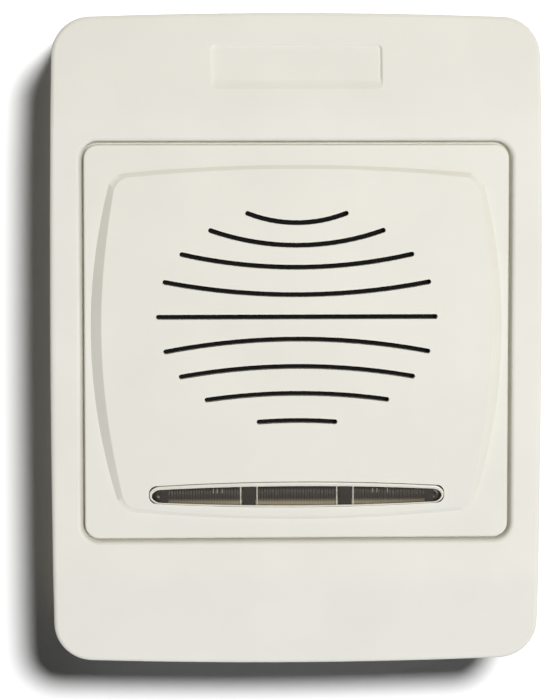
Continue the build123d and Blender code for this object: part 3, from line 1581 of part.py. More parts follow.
with BuildPart() as rear_cover_screws:
    for x, z in boss_places:
        with BuildSketch(axial_plane(x, z)):
            with BuildLine():
                Polyline(
                    (0, cover_rear + screw_play),
                    (cover_screw_head_radius, cover_rear + screw_play),
                    (cover_screw_radius, cover_rear + cover_screw_cone),
                    (cover_screw_radius, cover_rear + cover_screw_length - cover_screw_radius),
                    (0, cover_rear + cover_screw_length),
                    close=True,
                )
            make_face()
        revolve(axis=axial_axis(x, z))
    with BuildSketch(at_depth(cover_rear)):
        with Locations(*boss_places):
            Rectangle(1.2 * cover_screw_head_radius, screw_slot_width)
            Rectangle(screw_slot_width, 1.2 * cover_screw_head_radius)
    extrude(amount=screw_slot_depth + screw_play, mode=Mode.SUBTRACT)
rear_cover_screws.part.label = "rear_cover_screws"
export_step(rear_cover_screws.part, "parts/rear_cover_screws.step")

# Back plate: floor, upstand, rods for the hooks, lug for the lock screw, fixing slots, cable hole
plate_inset = casing_wall + plate_clearance
plate_upstand_front = plate_thickness + plate_upstand
notch_half = trunnion_length / 2
cable_hole_radius = cable_hole_diameter / 2
lip_radius = cable_hole_radius + grommet_lip
with BuildPart() as back_plate:
    with BuildSketch(at_depth(0)):
        add(casing_outline(plate_inset))
    extrude(amount=plate_thickness)
    with BuildSketch(at_depth(plate_thickness)):
        add(casing_outline(plate_inset))
        add(casing_outline(plate_inset + plate_upstand_width), mode=Mode.SUBTRACT)
    extrude(amount=plate_upstand)
    # ears that carry the two rods
    for x in trunnion_places:
        for side in (-1, 1):
            ear_middle = x + side * (trunnion_length + ear_thickness) / 2
            with BuildSketch(Plane.YZ.offset(ear_middle - ear_thickness / 2)):
                with Locations((-trunnion_depth, trunnion_z)):
                    Circle(ear_radius)
                with Locations((-trunnion_depth / 2 - plate_thickness / 4, trunnion_z)):
                    Rectangle(trunnion_depth - plate_thickness / 2, 2 * ear_radius)
            extrude(amount=ear_thickness)
    # windows behind the hooks, open at the top, and the gap round the casing's lock land
    with BuildSketch(at_depth(0)):
        for x in trunnion_places:
            with Locations((x, trunnion_z)):
                Rectangle(2 * notch_half, 2 * (hook_leg + hook_outer))
        with Locations((0, lug_bottom - lock_head_height)):
            Rectangle(2 * (lock_land + plate_clearance), 2 * lock_head_height)
    extrude(amount=cover_rear, mode=Mode.SUBTRACT)
    for x in trunnion_places:
        with BuildSketch(Plane.YZ.offset(x - notch_half - ear_thickness)):
            with Locations((-trunnion_depth, trunnion_z)):
                Circle(trunnion_radius)
        extrude(amount=trunnion_length + 2 * ear_thickness)
    # lug for the lock screw
    with BuildSketch(at_depth(0)):
        with Locations((0, lug_bottom + lock_lug_height / 2)):
            Rectangle(2 * lock_lug_half, lock_lug_height)
    extrude(amount=cover_rear - lock_lug_recess)
    with BuildSketch(Plane.XY.offset(lug_bottom - lock_clearance)):
        with Locations((0, -lock_screw_depth)):
            Circle(lock_screw_radius + thread_clearance)
    extrude(amount=lock_lug_height + 2 * lock_clearance, mode=Mode.SUBTRACT)
    # fixing slots for a square box, upright, and for a round box, lying
    with BuildSketch(at_depth(0)):
        with Locations((0, gang_box_spacing / 2), (0, -gang_box_spacing / 2)):
            SlotOverall(fixing_slot_length, fixing_slot_width, rotation=90)
        with Locations((round_box_spacing / 2, 0), (-round_box_spacing / 2, 0)):
            SlotOverall(fixing_slot_length, fixing_slot_width)
        with Locations(tamper_place):
            Circle(plunger_radius + plunger_plate_play)
        with Locations((0, cable_z)):
            Circle(cable_hole_radius)
    extrude(amount=plate_thickness, mode=Mode.SUBTRACT)
    with BuildSketch(at_depth(0)):
        with Locations((0, cable_z)):
            Circle(lip_radius + lock_clearance)
    extrude(amount=plate_thickness - plate_web_at_grommet, mode=Mode.SUBTRACT)
back_plate.part.label = "back_plate"
export_step(back_plate.part, "parts/back_plate.step")

# Rubber grommet in the cable hole
with BuildPart() as cable_grommet:
    with BuildSketch(axial_plane(0, cable_z)):
        with BuildLine():
            Polyline(
                (grommet_bore / 2, plate_thickness - plate_web_at_grommet - grommet_lip_thickness),
                (lip_radius, plate_thickness - plate_web_at_grommet - grommet_lip_thickness),
                (lip_radius, plate_thickness - plate_web_at_grommet),
                (cable_hole_radius - grommet_play, plate_thickness - plate_web_at_grommet),
                (cable_hole_radius - grommet_play, plate_thickness),
                (lip_radius, plate_thickness),
                (lip_radius - grommet_lip / 2, plate_thickness + grommet_lip_thickness),
                (grommet_bore / 2, plate_thickness + grommet_lip_thickness),
                close=True,
            )
        make_face()
    revolve(axis=axial_axis(0, cable_z))
cable_grommet.part.label = "cable_grommet"
export_step(cable_grommet.part, "parts/cable_grommet.step")

# Lock screw, from below through the casing's notch into the back plate's lug
with BuildPart() as lock_screw:
    with BuildSketch(Plane.XY.offset(web_bottom - thread_clearance - lock_head_height)):
        with Locations((0, -lock_screw_depth)):
            Circle(lock_head_radius)
    extrude(amount=lock_head_height)
    with BuildSketch(Plane.XY.offset(web_bottom - thread_clearance)):
        with Locations((0, -lock_screw_depth)):
            Circle(lock_screw_radius)
    extrude(amount=lock_screw_length)
    with BuildSketch(Plane.XY.offset(web_bottom - thread_clearance - lock_head_height)):
        with Locations((0, -lock_screw_depth)):
            RegularPolygon(lock_socket_size / 2, 6, major_radius=False)
    extrude(amount=lock_socket_depth, mode=Mode.SUBTRACT)
lock_screw.part.label = "lock_screw"
export_step(lock_screw.part, "parts/lock_screw.step")
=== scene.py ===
"""Wall sounder with a strobe lens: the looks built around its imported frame.

Everything is in metres in the frame's own axes: X to the right, Z up, the front faces -Y and the
wall is the plane Y = 0. A depth is a distance from the wall, so it is minus Y.
"""

import json
import logging
import math
from dataclasses import dataclass, field
from enum import Enum
from functools import cache
from typing import ClassVar, Optional, Sequence, Union

import bmesh
import bpy
import numpy as np
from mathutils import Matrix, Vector

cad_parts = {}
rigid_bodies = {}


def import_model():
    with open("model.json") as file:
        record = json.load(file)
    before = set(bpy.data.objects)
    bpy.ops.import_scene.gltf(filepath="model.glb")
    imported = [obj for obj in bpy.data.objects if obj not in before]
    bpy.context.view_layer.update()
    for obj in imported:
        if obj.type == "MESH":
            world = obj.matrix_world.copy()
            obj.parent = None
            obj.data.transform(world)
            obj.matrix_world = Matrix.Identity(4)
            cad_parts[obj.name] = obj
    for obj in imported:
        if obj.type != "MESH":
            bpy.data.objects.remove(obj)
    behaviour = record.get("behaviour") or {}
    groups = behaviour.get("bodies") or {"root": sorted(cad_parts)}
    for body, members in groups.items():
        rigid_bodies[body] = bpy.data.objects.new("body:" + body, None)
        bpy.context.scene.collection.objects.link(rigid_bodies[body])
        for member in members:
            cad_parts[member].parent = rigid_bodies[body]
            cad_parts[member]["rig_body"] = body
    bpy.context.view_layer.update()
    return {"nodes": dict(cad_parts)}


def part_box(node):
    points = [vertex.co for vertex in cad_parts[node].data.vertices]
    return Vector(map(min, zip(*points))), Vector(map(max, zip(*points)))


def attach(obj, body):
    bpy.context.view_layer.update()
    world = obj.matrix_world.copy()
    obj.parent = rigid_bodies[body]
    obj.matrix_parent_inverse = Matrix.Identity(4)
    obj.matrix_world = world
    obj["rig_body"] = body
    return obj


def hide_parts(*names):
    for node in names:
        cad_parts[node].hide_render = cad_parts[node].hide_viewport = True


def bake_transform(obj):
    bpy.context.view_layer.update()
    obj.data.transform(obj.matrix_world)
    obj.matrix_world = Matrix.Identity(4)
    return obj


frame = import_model()

log = logging.getLogger("sounder")
Pair = tuple[float, float]
Triple = tuple[float, float, float]
Colour = Triple
Socket = bpy.types.NodeSocket
Piece = bpy.types.Object
Inputs = dict[Union[str, int], object]
MM = 0.001
RIB_PITCH = 0.5 * MM
# Scale of a wave texture whose bands are one metre apart
WAVE_SCALE = 0.314159
# Points of a CAD mesh that are closer are one point
MERGE_DISTANCE = 1e-6
# Degrees below which neighbouring faces are joined, and above which an edge stays sharp
FLAT_ANGLE = 0.3
CREASE_ANGLE = 32.0


# Places


def middle(low: Sequence[float], high: Sequence[float]) -> Pair:
    """The x and z of the middle of a box."""
    return (low[0] + high[0]) / 2, (low[2] + high[2]) / 2


@dataclass(frozen=True)
class Datums:
    """Places that the pieces are set out from, read from the CAD nodes."""

    lens: Pair
    speaker: Pair
    lens_face: float

    @classmethod
    def read(cls) -> "Datums":
        """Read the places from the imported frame.

        Returns:
            The datums.
        """
        lens_low, lens_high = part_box("strobe_lens")
        speaker_low, speaker_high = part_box("speaker_magnet")
        return cls(middle(lens_low, lens_high), middle(speaker_low, speaker_high), -lens_low[1])


# Colours and finishes


def srgb(red: int, green: int, blue: int) -> Colour:
    """Turn a colour written as three bytes into linear light.

    Args:
        red: Red, 0 to 255.
        green: Green, 0 to 255.
        blue: Blue, 0 to 255.

    Returns:
        The linear red, green and blue.
    """
    share = np.array([red, green, blue], float) / 255.0
    low = share / 12.92
    high = ((share + 0.055) / 1.055) ** 2.4
    return tuple(float(v) for v in np.where(share <= 0.04045, low, high))


def shaded(colour: Colour, factor: float) -> Colour:
    """A colour made darker or lighter by a factor."""
    return tuple(min(1.0, channel * factor) for channel in colour)


def add_node(tree: bpy.types.NodeTree, kind: str, inputs: Inputs) -> bpy.types.Node:
    """Add a shader node.

    Args:
        tree: The node tree.
        kind: The node's type, without ShaderNode in front.
        inputs: A socket to link or a fixed value for each input, by its name or number.

    Returns:
        The node.
    """
    node = tree.nodes.new(f"ShaderNode{kind}")
    for key, value in inputs.items():
        if isinstance(value, Socket):
            tree.links.new(value, node.inputs[key])
        else:
            node.inputs[key].default_value = value
    return node


class NodeSheet:
    """A material's node tree with short calls for the nodes that the finishes share."""

    def __init__(self, name: str) -> None:
        """Start a material with a Principled shader and its output.

        Args:
            name: Name of the material.
        """
        self.material = bpy.data.materials.new(name)
        self.material.use_nodes = True
        self.tree = self.material.node_tree
        self.tree.nodes.clear()
        self.shader = self.node("BsdfPrincipled", {})
        self.node("OutputMaterial", {"Surface": self.shader.outputs["BSDF"]})
        self.coordinates = self.node("TexCoord", {}).outputs["Object"]

    def node(self, kind: str, inputs: Inputs) -> bpy.types.Node:
        """Add a node to this sheet."""
        return add_node(self.tree, kind, inputs)

    def link(self, source: Socket, target: Socket) -> None:
        """Join two sockets."""
        self.tree.links.new(source, target)

    def set(self, **values: float) -> None:
        """Set fixed values on the shader, named with underscores for spaces."""
        for key, value in values.items():
            self.shader.inputs[key.replace("_", " ")].default_value = value

    def mapped(self, key: str, value: Triple) -> Socket:
        """Object coordinates with a Scale or a Rotation along the axes."""
        return self.node("Mapping", {"Vector": self.coordinates, key: value}).outputs["Vector"]

    def noise(self, size: float, detail: float = 2.0, vector: Optional[Socket] = None) -> Socket:
        """Smooth noise, about 0 to 1, in blobs of about size metres with finer octaves in them."""
        inputs = {"Scale": 1.0 / size, "Detail": detail, "Vector": vector or self.coordinates}
        return self.node("TexNoise", inputs).outputs["Fac"]

    def cells(self, size: float) -> Socket:
        """Distances from the middles of scattered cells about size metres apart."""
        inputs = {"Scale": 1.0 / size, "Vector": self.coordinates}
        return self.node("TexVoronoi", inputs).outputs["Distance"]

    def bands(self, pitch: float, axis: str, waver: float = 0.0) -> Socket:
        """Even bands across one axis.

        Args:
            pitch: Distance between bands in metres.
            axis: "X", "Y" or "Z".
            waver: Distortion of the bands.

        Returns:
            The bands as a sine, 0 to 1.
        """
        inputs = {"Scale": WAVE_SCALE / pitch, "Distortion": waver, "Vector": self.coordinates}
        node = self.node("TexWave", inputs)
        node.bands_direction = axis
        return node.outputs["Fac"]

    def ramp(self, source: Socket, *stops: tuple[float, Colour]) -> Socket:
        """Turn a value into a colour.

        Args:
            source: The value.
            stops: Places and colours of the two ends.

        Returns:
            The colour.
        """
        node = self.node("ValToRGB", {"Fac": source})
        for element, (place, colour) in zip(node.color_ramp.elements, stops):
            element.position = place
            element.color = (*colour, 1.0)
        return node.outputs["Color"]

    def combined(self, first: Socket, second: Socket, operation: str = "MULTIPLY") -> Socket:
        """Join two values, by multiplication where nothing else is asked.

        Args:
            first: The first value.
            second: The second value.
            operation: The kind of arithmetic.

        Returns:
            The result.
        """
        node = self.node("Math", {0: first, 1: second})
        node.operation = operation
        return node.outputs["Value"]

    def colour(self, source: Socket) -> None:
        """Use a colour as the shader's base colour."""
        self.link(source, self.shader.inputs["Base Color"])

    def roughness(self, source: Socket, low: float, high: float) -> None:
        """Let the roughness run from low to high while a value runs from 0 to 1."""
        spread = self.node("MapRange", {"To Min": low, "To Max": high, "Value": source})
        self.link(spread.outputs["Result"], self.shader.inputs["Roughness"])

    def bump(self, source: Socket, depth: float, strength: float = 1.0) -> None:
        """Relief on the surface, over the relief that is already there.

        Args:
            source: Height, 0 to 1.
            depth: Height of 1 in metres.
            strength: Share of the relief that shows.
        """
        node = self.node("Bump", {"Distance": depth, "Strength": strength, "Height": source})
        previous = self.shader.inputs["Normal"].links
        if previous:
            self.link(previous[0].from_socket, node.inputs["Normal"])
        self.link(node.outputs["Normal"], self.shader.inputs["Normal"])


class Recipe:
    """How a finish sets up its material."""

    def build(self, name: str) -> bpy.types.Material:
        """Build the material.

        Args:
            name: Name of the material.

        Returns:
            The material.
        """
        sheet = NodeSheet(name)
        self.dress(sheet)
        return sheet.material

    def dress(self, sheet: NodeSheet) -> None:
        """Set up the shader of a new sheet."""
        raise NotImplementedError


@dataclass(frozen=True)
class MouldedPlastic(Recipe):
    """Injection-moulded plastic with a fine spark-eroded grain and faint cloudy mottling."""

    colour: Colour
    roughness: float = 0.42
    grain: float = 0.35 * MM
    grain_depth: float = 0.006 * MM
    mottling: float = 0.02
    specular: float = 0.4
    cloud: float = 14 * MM
    wave: float = 9 * MM

    def dress(self, sheet: NodeSheet) -> None:
        """Lay the grain over slow waves and clouds.

        Args:
            sheet: The material's nodes.
        """
        low, high = shaded(self.colour, 1 - self.mottling), shaded(self.colour, 1 + self.mottling)
        sheet.colour(sheet.ramp(sheet.noise(self.cloud, 3.0), (0.3, low), (0.7, high)))
        grain = sheet.noise(self.grain, 4.0)
        sheet.roughness(grain, self.roughness - 0.06, self.roughness + 0.06)
        sheet.bump(grain, self.grain_depth)
        sheet.bump(sheet.noise(self.wave, 1.0), self.grain_depth * 4, 0.5)
        sheet.set(Specular_IOR_Level=self.specular)


@dataclass(frozen=True)
class PlatedMetal(Recipe):
    """Turned or stamped metal with fine brushing and a cloudy plating."""

    colour: Colour
    roughness: float = 0.3
    brushing: Triple = (1.0, 12.0, 1.0)
    cloud: float = 2.5 * MM
    line: float = 0.6 * MM

    def dress(self, sheet: NodeSheet) -> None:
        """Brush the metal and cloud its plating.

        Args:
            sheet: The material's nodes.
        """
        cloud = sheet.noise(self.cloud, 3.0)
        sheet.colour(sheet.ramp(cloud, (0.3, shaded(self.colour, 0.86)), (0.7, self.colour)))
        lines = sheet.noise(self.line, 3.0, sheet.mapped("Scale", self.brushing))
        sheet.roughness(lines, self.roughness - 0.08, self.roughness + 0.12)
        sheet.bump(lines, 0.004 * MM)
        sheet.set(Metallic=1.0)


@dataclass(frozen=True)
class GlossyMoulding(Recipe):
    """Clear-coated plastic, with faint clouds where the light bends inside it."""

    colour: Colour
    cloud: float = 2.0 * MM
    variation: float = 0.04
    roughness: float = 0.12
    coat: float = 0.6
    specular: float = 0.5

    def dress(self, sheet: NodeSheet) -> None:
        """Cloud the plastic and coat it.

        Args:
            sheet: The material's nodes.
        """
        cloud = sheet.noise(self.cloud, 3.0)
        low, high = shaded(self.colour, 1 - self.variation), shaded(self.colour, 1 + self.variation)
        sheet.colour(sheet.ramp(cloud, (0.35, low), (0.65, high)))
        sheet.roughness(cloud, self.roughness, self.roughness + 0.1)
        sheet.bump(sheet.noise(1.5 * MM, 1.0), 0.004 * MM)
        sheet.set(Coat_Weight=self.coat, Coat_Roughness=0.06, Specular_IOR_Level=self.specular)


@dataclass(frozen=True)
class RibbedSmoke(Recipe):
    """The smoked lens body: dark ribs above, and a paler strip below that is a painted refraction of the
    lit slot wall seen through the clear lens.
    """

    dark: Colour
    pale: Colour
    painted_refraction_band: Pair = (-2.0 * MM, -0.5 * MM)

    def dress(self, sheet: NodeSheet) -> None:
        """Let the painted refraction strip run into the dark ribs across its heights.

        Args:
            sheet: The material's nodes.
        """
        start, end = (Datums.read().lens[1] + edge for edge in self.painted_refraction_band)
        split = sheet.node("SeparateXYZ", {"Vector": sheet.coordinates})
        place = sheet.node("MapRange", {"From Min": start, "From Max": end, "Value": split.outputs["Z"]})
        place.interpolation_type = "SMOOTHSTEP"
        grain = sheet.combined(sheet.noise(0.22 * MM, 3.0), sheet.noise(1.3 * MM, 2.0))
        ribs = sheet.combined(sheet.bands(RIB_PITCH, "X"), grain)
        upper = sheet.ramp(ribs, (0.15, shaded(self.dark, 0.6)), (0.6, shaded(self.dark, 1.4)))
        # Painted refraction: the pale colour of the lower strip stands in for the lit slot wall seen
        # through the lens
        lower = sheet.ramp(grain, (0.35, shaded(self.pale, 0.75)), (0.7, shaded(self.pale, 1.1)))
        mix = sheet.node("Mix", {})
        mix.data_type = "RGBA"
        sheet.link(place.outputs["Result"], mix.inputs["Factor"])
        sheet.link(lower, mix.inputs["A"])
        sheet.link(upper, mix.inputs["B"])
        sheet.colour(mix.outputs["Result"])
        sheet.roughness(grain, 0.3, 0.45)
        sheet.bump(grain, 0.01 * MM)
        sheet.set(Coat_Weight=0.05, Coat_Roughness=0.1, Specular_IOR_Level=0.2)


@dataclass(frozen=True)
class WovenCloth(Recipe):
    """Plain weave whose threads cross on X and Z."""

    colour: Colour
    pitch: float = 0.5 * MM
    waver: float = 0.3

    def dress(self, sheet: NodeSheet) -> None:
        """Cross the threads and add their fuzz.

        Args:
            sheet: The material's nodes.
        """
        across, up = (sheet.bands(self.pitch, axis, self.waver) for axis in "XZ")
        weave = sheet.combined(across, up, "ADD")
        fuzz = sheet.noise(0.12 * MM, 3.0)
        sheet.colour(sheet.ramp(weave, (0.2, shaded(self.colour, 0.5)), (1.0, self.colour)))
        sheet.roughness(fuzz, 0.82, 0.96)
        sheet.bump(weave, 0.06 * MM)
        sheet.bump(fuzz, 0.01 * MM)
        sheet.set(Sheen_Weight=0.15, Specular_IOR_Level=0.2)


@dataclass(frozen=True)
class PressedPaper(Recipe):
    """Fibrous pulp or resin-dipped cloth."""

    colour: Colour
    roughness: float = 0.85
    fibre: float = 0.35 * MM

    def dress(self, sheet: NodeSheet) -> None:
        """Lay the fibres.

        Args:
            sheet: The material's nodes.
        """
        fibres = sheet.noise(self.fibre, 5.0, sheet.mapped("Scale", (1.0, 1.0, 3.0)))
        low, high = shaded(self.colour, 0.65), shaded(self.colour, 1.2)
        sheet.colour(sheet.ramp(fibres, (0.3, low), (0.7, high)))
        sheet.roughness(fibres, self.roughness - 0.08, self.roughness + 0.08)
        sheet.bump(fibres, 0.02 * MM)


@dataclass(frozen=True)
class SoftRubber(Recipe):
    """Moulded rubber or foam with a dull bloom."""

    colour: Colour
    pores: float = 0.25 * MM
    pore_depth: float = 0.01 * MM

    def dress(self, sheet: NodeSheet) -> None:
        """Add the bloom and the pores.

        Args:
            sheet: The material's nodes.
        """
        bloom = sheet.noise(3 * MM, 3.0)
        sheet.colour(sheet.ramp(bloom, (0.35, self.colour), (0.75, shaded(self.colour, 1.5))))
        sheet.roughness(bloom, 0.55, 0.72)
        sheet.bump(sheet.cells(self.pores), self.pore_depth)


@dataclass(frozen=True)
class SolderMask(Recipe):
    """Circuit board: glassy lacquer over copper runs."""

    lacquer: Colour
    copper: Colour
    field_size: float = 9 * MM
    run_width: float = 0.035

    def dress(self, sheet: NodeSheet) -> None:
        """Lay the runs and lacquer them.

        Args:
            sheet: The material's nodes.
        """
        flat = sheet.mapped("Rotation", (math.radians(90), 0.0, 0.0))
        inputs = {"Scale": 1.0 / self.field_size, "Mortar Size": self.run_width, "Mortar Smooth": 0.2}
        bricks = sheet.node("TexBrick", inputs | {"Vector": flat})
        bricks.offset_frequency = 3
        runs = bricks.outputs["Fac"]
        sheet.colour(sheet.ramp(runs, (0.2, self.lacquer), (0.6, self.copper)))
        sheet.roughness(sheet.noise(4 * MM, 2.0), 0.22, 0.38)
        sheet.bump(runs, 0.03 * MM)


@dataclass(frozen=True)
class WoundWire(Recipe):
    """Enamelled wire laid side by side along the depth."""

    colour: Colour
    pitch: float = 0.25 * MM

    def dress(self, sheet: NodeSheet) -> None:
        """Lay the turns, with painted shade darkening the grooves between them.

        Args:
            sheet: The material's nodes.
        """
        turns = sheet.bands(self.pitch, "Y", 0.1)
        # Painted shade: the colour falls to 0.4 of the wire's in the grooves between turns
        sheet.colour(sheet.ramp(turns, (0.1, shaded(self.colour, 0.4)), (0.7, self.colour)))
        sheet.roughness(turns, 0.4, 0.25)
        sheet.bump(turns, 0.05 * MM)
        sheet.set(Metallic=0.7)


class Finish(Enum):
    """The finishes of this sounder's pieces."""

    CREAM_SHELL = MouldedPlastic(srgb(233, 230, 218), roughness=0.52)
    CREAM_PANEL = MouldedPlastic(srgb(232, 229, 216), roughness=0.5)
    CREAM_REAR = MouldedPlastic(srgb(228, 225, 212), roughness=0.5, grain_depth=0.009 * MM)
    CLEAR_RIM = GlossyMoulding(srgb(221, 216, 203), roughness=0.38, coat=0.1)
    # Second colour: the painted refraction in the lower strip of the lens body
    SMOKED_RIBS = RibbedSmoke(srgb(64, 57, 48), srgb(190, 177, 148))
    LENS_BLOCK = GlossyMoulding(srgb(50, 46, 40), 1.2 * MM, 0.12, roughness=0.6, coat=0.0, specular=0.2)
    LENS_EDGE = GlossyMoulding(srgb(184, 179, 162), 0.6 * MM, 0.25, roughness=0.4, coat=0.1)
    # Pale colour of the painted glints: light bent by the clear lens, painted on small blocks
    LENS_STREAK = GlossyMoulding(srgb(118, 115, 98), 0.3 * MM, 0.2, roughness=0.4, coat=0.1)
    LENS_END = GlossyMoulding(srgb(46, 38, 28), 0.5 * MM, 0.35, roughness=0.25, coat=0.08, specular=0.15)
    BLACK_SHROUD = MouldedPlastic(srgb(30, 28, 27), roughness=0.6, mottling=0.15)
    BLACK_CLOTH = WovenCloth(srgb(16, 15, 15))
    BLACK_FOAM = SoftRubber(srgb(34, 34, 35), pores=0.4 * MM, pore_depth=0.05 * MM)
    BLACK_RUBBER = SoftRubber(srgb(38, 38, 39))
    BOARD = SolderMask(srgb(28, 92, 52), srgb(52, 128, 72))
    LAMP_BODY = MouldedPlastic(srgb(238, 236, 226), roughness=0.35, grain_depth=0.002 * MM)
    BASKET = MouldedPlastic(srgb(44, 44, 46), roughness=0.35, mottling=0.1)
    FERRITE = MouldedPlastic(srgb(58, 58, 60), roughness=0.55, mottling=0.2, grain_depth=0.02 * MM)
    ZINC = PlatedMetal(srgb(200, 200, 196))
    SCREW_STEEL = PlatedMetal(srgb(192, 192, 190), roughness=0.25)
    BRASS = PlatedMetal(srgb(205, 184, 128), roughness=0.28)
    CONE = PressedPaper(srgb(52, 51, 50))
    SPIDER = PressedPaper(srgb(176, 132, 70))
    SURROUND = SoftRubber(srgb(36, 36, 37))
    WINDING = WoundWire(srgb(186, 104, 62))
    NYLON = MouldedPlastic(srgb(236, 233, 224), roughness=0.38, grain_depth=0.002 * MM)
    CAN_SLEEVE = MouldedPlastic(srgb(38, 42, 62), roughness=0.3, mottling=0.08)
    CHIP = MouldedPlastic(srgb(38, 38, 40), roughness=0.6, mottling=0.12)
    TERMINAL = MouldedPlastic(srgb(46, 128, 84), roughness=0.36, mottling=0.04)
    WIRE_RED = MouldedPlastic(srgb(176, 36, 34), roughness=0.4, mottling=0.06)
    WIRE_BLACK = MouldedPlastic(srgb(34, 34, 36), roughness=0.4, mottling=0.1)

    @cache
    def material(self) -> bpy.types.Material:
        """This finish's material, built once."""
        return self.value.build(self.name.lower())


# Meshes


def placed(name: str, data: bpy.types.ID) -> Piece:
    """Put data in the scene as an object at the origin.

    Args:
        name: Name of the object.
        data: Its mesh, lamp or camera.

    Returns:
        The object.
    """
    thing = bpy.data.objects.new(name, data)
    bpy.context.scene.collection.objects.link(thing)
    return thing


def mesh_piece(name: str, points: np.ndarray, faces: np.ndarray, finish: Finish) -> Piece:
    """Make a smooth object from points and four-sided faces.

    Args:
        name: Name of the piece.
        points: Points in metres, in an array whose last axis is x, y and z.
        faces: Point numbers of each face, four in a row.
        finish: The finish.

    Returns:
        The object, linked to the scene.
    """
    mesh = bpy.data.meshes.new(name)
    mesh.from_pydata(points.reshape(-1, 3).tolist(), [], faces.tolist())
    mesh.update()
    mesh.polygons.foreach_set("use_smooth", np.full(len(mesh.polygons), True))
    mesh.materials.append(finish.material())
    return placed(name, mesh)


def grid_faces(rows: int, columns: int, wrap_rows: bool, wrap_columns: bool) -> np.ndarray:
    """Number the four-sided faces of a grid of points.

    Args:
        rows: Points along the first parameter.
        columns: Points along the second parameter.
        wrap_rows: Whether the last row joins the first.
        wrap_columns: Whether the last column joins the first.

    Returns:
        One row of four point numbers per face.
    """
    row = np.arange(rows if wrap_rows else rows - 1)
    column = np.arange(columns if wrap_columns else columns - 1)
    r, c = np.meshgrid(row, column, indexing="ij")
    r2, c2 = (r + 1) % rows, (c + 1) % columns
    here, beyond = r * columns, r2 * columns
    return np.stack([here + c, here + c2, beyond + c2, beyond + c], -1).reshape(-1, 4)


def fill_rims(work: bmesh.types.BMesh) -> None:
    """Close every open loop with one face."""
    bmesh.ops.holes_fill(work, edges=[edge for edge in work.edges if edge.is_boundary], sides=0)


def closed_piece(
    name: str, points: np.ndarray, finish: Finish, wrap_rows: bool = False, open_ends: bool = False
) -> Piece:
    """Make a closed piece from rows of points that go round it.

    Args:
        name: Name of the piece.
        points: Points in an array of rows by columns by 3. The last column joins the first.
        finish: The finish.
        wrap_rows: Whether the last row joins the first.
        open_ends: Whether the first and last rows are loops that want a face.

    Returns:
        The piece, with merged points and its faces outward.
    """
    piece = mesh_piece(name, points, grid_faces(*points.shape[:2], wrap_rows, True), finish)
    work = bmesh.new()
    work.from_mesh(piece.data)
    if open_ends:
        fill_rims(work)
    bmesh.ops.remove_doubles(work, verts=work.verts, dist=1e-7)
    bmesh.ops.dissolve_degenerate(work, dist=1e-8, edges=work.edges)
    bmesh.ops.recalc_face_normals(work, faces=work.faces)
    work.to_mesh(piece.data)
    work.free()
    return piece


def tube_piece(name: str, path: np.ndarray, radius: float, finish: Finish, sides: int) -> Piece:
    """A closed tube along a path, whose circle turns as little as the path allows.

    A tiny first and last ring, each merged to a point, close its ends flat.

    Args:
        name: Name of the piece.
        path: Points of the path.
        radius: Radius of the tube.
        finish: The finish.
        sides: Points round the tube.

    Returns:
        The piece.
    """
    tiny = 1e-3
    before, after = path[:1] - (path[1] - path[0]) * tiny, path[-1:] + (path[-1] - path[-2]) * tiny
    grown = np.concatenate([before, path, after])
    radii = np.full(len(grown), radius)
    radii[[0, -1]] *= tiny
    tangent = np.gradient(grown, axis=0)
    tangent /= np.linalg.norm(tangent, axis=1, keepdims=True)
    start = np.cross(tangent[0], [0.3, 0.5, 0.8])
    normals = [start / np.linalg.norm(start)]
    for direction in tangent[1:]:
        side = normals[-1] - direction * float(normals[-1] @ direction)
        normals.append(side / np.linalg.norm(side))
    normal = np.array(normals)
    binormal = np.cross(tangent, normal)
    angle = np.linspace(0, 2 * np.pi, sides, endpoint=False)[None, :, None]
    ring = normal[:, None, :] * np.cos(angle) + binormal[:, None, :] * np.sin(angle)
    points = grown[:, None, :] + ring * radii[:, None, None]
    points[0], points[-1] = path[0], path[-1]
    return closed_piece(name, points, finish)


def bowed_box(half: Pair, bow: Pair, corner: float, count: int) -> np.ndarray:
    """Outline of a box with round corners whose sides and ends bow outward.

    A box with round corners is smaller by the bows, and then x grows by side_bow u (1 - v v) and z
    by end_bow v (1 - u u), where u and v run from -1 to 1 across the box.

    Args:
        half: Half the width and half the height, at their middles.
        bow: How far the sides bow out, and how far the top and bottom do.
        corner: Corner radius.
        count: Points on the outline, evenly spaced before it bows.

    Returns:
        The points, counterclockwise.
    """
    wide, high = half[0] - bow[0], half[1] - bow[1]
    angle = np.linspace(0, np.pi / 2, 24)[None, :] + np.arange(4)[:, None] * np.pi / 2
    sign_x, sign_z = np.array([1, -1, -1, 1])[:, None], np.array([1, 1, -1, -1])[:, None]
    x = sign_x * (wide - corner) + corner * np.cos(angle)
    z = sign_z * (high - corner) + corner * np.sin(angle)
    outline = np.stack([x.ravel(), z.ravel()], -1)
    closed = np.concatenate([outline, outline[:1]])
    length = np.concatenate([[0.0], np.cumsum(np.linalg.norm(np.diff(closed, axis=0), axis=1))])
    wanted = np.linspace(0, length[-1], count, endpoint=False)
    points = np.stack([np.interp(wanted, length, closed[:, axis]) for axis in (0, 1)], -1)
    u, v = points[:, 0] / wide, points[:, 1] / high
    return points + np.stack([bow[0] * u * (1 - v**2), bow[1] * v * (1 - u**2)], -1)


def signed_power(value: np.ndarray, power: float) -> np.ndarray:
    """Raise to a power and keep the sign."""
    return np.sign(value) * np.abs(value) ** power


